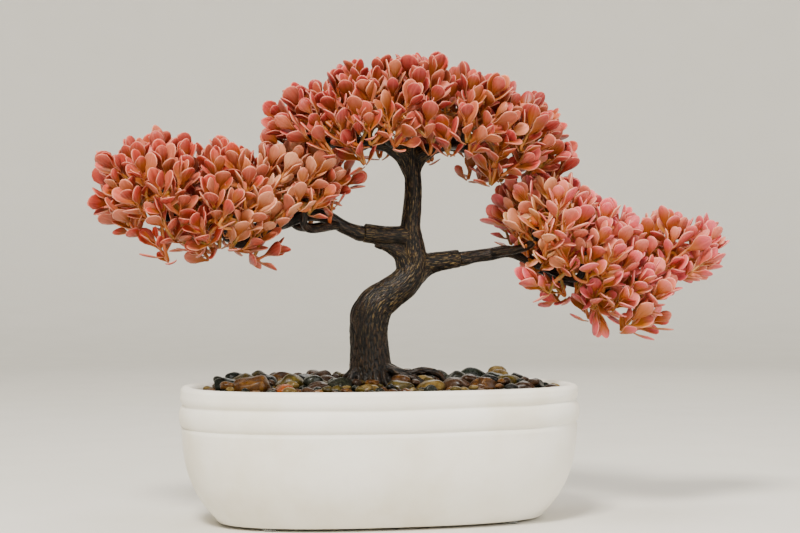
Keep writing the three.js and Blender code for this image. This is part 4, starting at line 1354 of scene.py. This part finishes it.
def small_stone(layer, number):
    """Points of one more small stone on the bed, or None where it finds no place."""
    x = dice.uniform(-1, 1) * BED_LENGTH
    y = dice.uniform(-1, 1) * BED_DEPTH
    long = dice.uniform(*layer["long"])
    half = np.array([long, long * dice.uniform(0.72, 0.92), long * dice.uniform(0.55, 0.75)])
    turn = dice.uniform(0, math.pi)
    shares = np.abs([x, y]) / [BED_LENGTH - long, BED_DEPTH - long]
    if (shares ** POT["squareness"]).sum() > 1:
        return None
    if math.hypot(x - TRUNK_FOOT["x"], y) < TRUNK_FOOT["radius"] + long:
        return None
    axes = np.array([
        [math.cos(turn), math.sin(turn), 0], [-math.sin(turn), math.cos(turn), 0], [0, 0, 1],
    ]) * half[:, None]
    start = np.array([x, y, DROP_HEIGHT])
    centre = start - [0, 0, fall_of(start + PROBE @ axes) - SINK]
    highest = layer["front"] if y < FRONT_ROW else layer["behind"]
    if not BED_ENDS[0] < x < BED_ENDS[1]:
        highest = END_HEIGHT
    if centre[2] > highest:
        return None
    points = tumbled(SMALL_BALL[0], centre, axes, number)
    bed.append((BVHTree.FromPolygons(points.tolist(), SMALL_BALL[1]), centre, reach_of(points)))
    return points


small_parts = {kind: [] for kind in STONES}
SMALL_KINDS = ["bottle_green", "amber", "olive", "sand", "red_brown", "black", "amber", "slate"]
laid = 0
for layer in LAYERS:
    for _ in range(layer["tries"]):
        points = small_stone(layer, laid)
        if points is not None:
            small_parts[SMALL_KINDS[laid % len(SMALL_KINDS)]].append((points, SMALL_BALL[1]))
            laid += 1
for kind, parts in small_parts.items():
    if parts:
        piece = make_piece(f"small_{kind}_stones", *gathered(parts), [STONES[kind]])
        part_of_object(piece, kind + "_stone")


# ------------------------------------------------------------------ floor


def paper_sweep():
    """Matt photographic paper: a warm off-white with a barely visible tooth."""
    material, surface = new_material("matt_paper")
    place = (add(material, "TexCoord", {}), "Object")
    pulp = add(material, "TexNoise", {"Vector": place, "Scale": across(60), "Detail": 4.0})
    white = add(material, "ValToRGB", {"Fac": pulp}, ramp=[(0.2, "D9D5CB"), (0.8, "DFDBD2")])
    # The far paper glows a little, so that it is no darker than the paper near the lamps.
    away = add(material, "VectorMath", {0: place}, operation="LENGTH")
    glow = add(
        material, "MapRange",
        {"Value": (away, "Value"), "From Min": 0.7, "From Max": 3.2, "To Max": 0.36},
        interpolation_type="SMOOTHSTEP",
    )
    wire(material, surface, {
        "Base Color": white, "Roughness": 0.9,
        "Emission Color": linear("FBF7EC"), "Emission Strength": glow,
    })
    return material


FLOOR_SIDES = 96
FLOOR_PROFILE = [  # radius and height in metres
    (0.02, 0), (0.6, 0), (1.4, 0), (2.0, 0), (2.4, 0.05), (2.8, 0.22), (3.1, 0.55), (3.3, 1.1),
    (3.35, 1.9), (3.35, 3.2),
]


def bowl_floor():
    """A level floor whose far edge curves up all round, so that no horizon line shows."""
    profile = smooth_line([[radius, 0, z, 0] for radius, z in FLOOR_PROFILE], 0.05)
    rings = [level_ring(radius, z, FLOOR_SIDES) for radius, _, z, _ in profile]
    points = np.vstack(rings + [[[0, 0, 0]]]) / MM
    faces = skin_faces(len(rings), FLOOR_SIDES, closed=False)
    faces += [(len(points) - 1, i, (i + 1) % FLOOR_SIDES) for i in range(FLOOR_SIDES)]
    make_piece("floor", points, faces, [paper_sweep()])


bowl_floor()
world = bpy.data.worlds.new("studio")
world.use_nodes = True
world.node_tree.nodes["Background"].inputs["Color"].default_value = (0.82, 0.82, 0.80, 1)
world.node_tree.nodes["Background"].inputs["Strength"].default_value = 0.3
bpy.context.scene.world = world
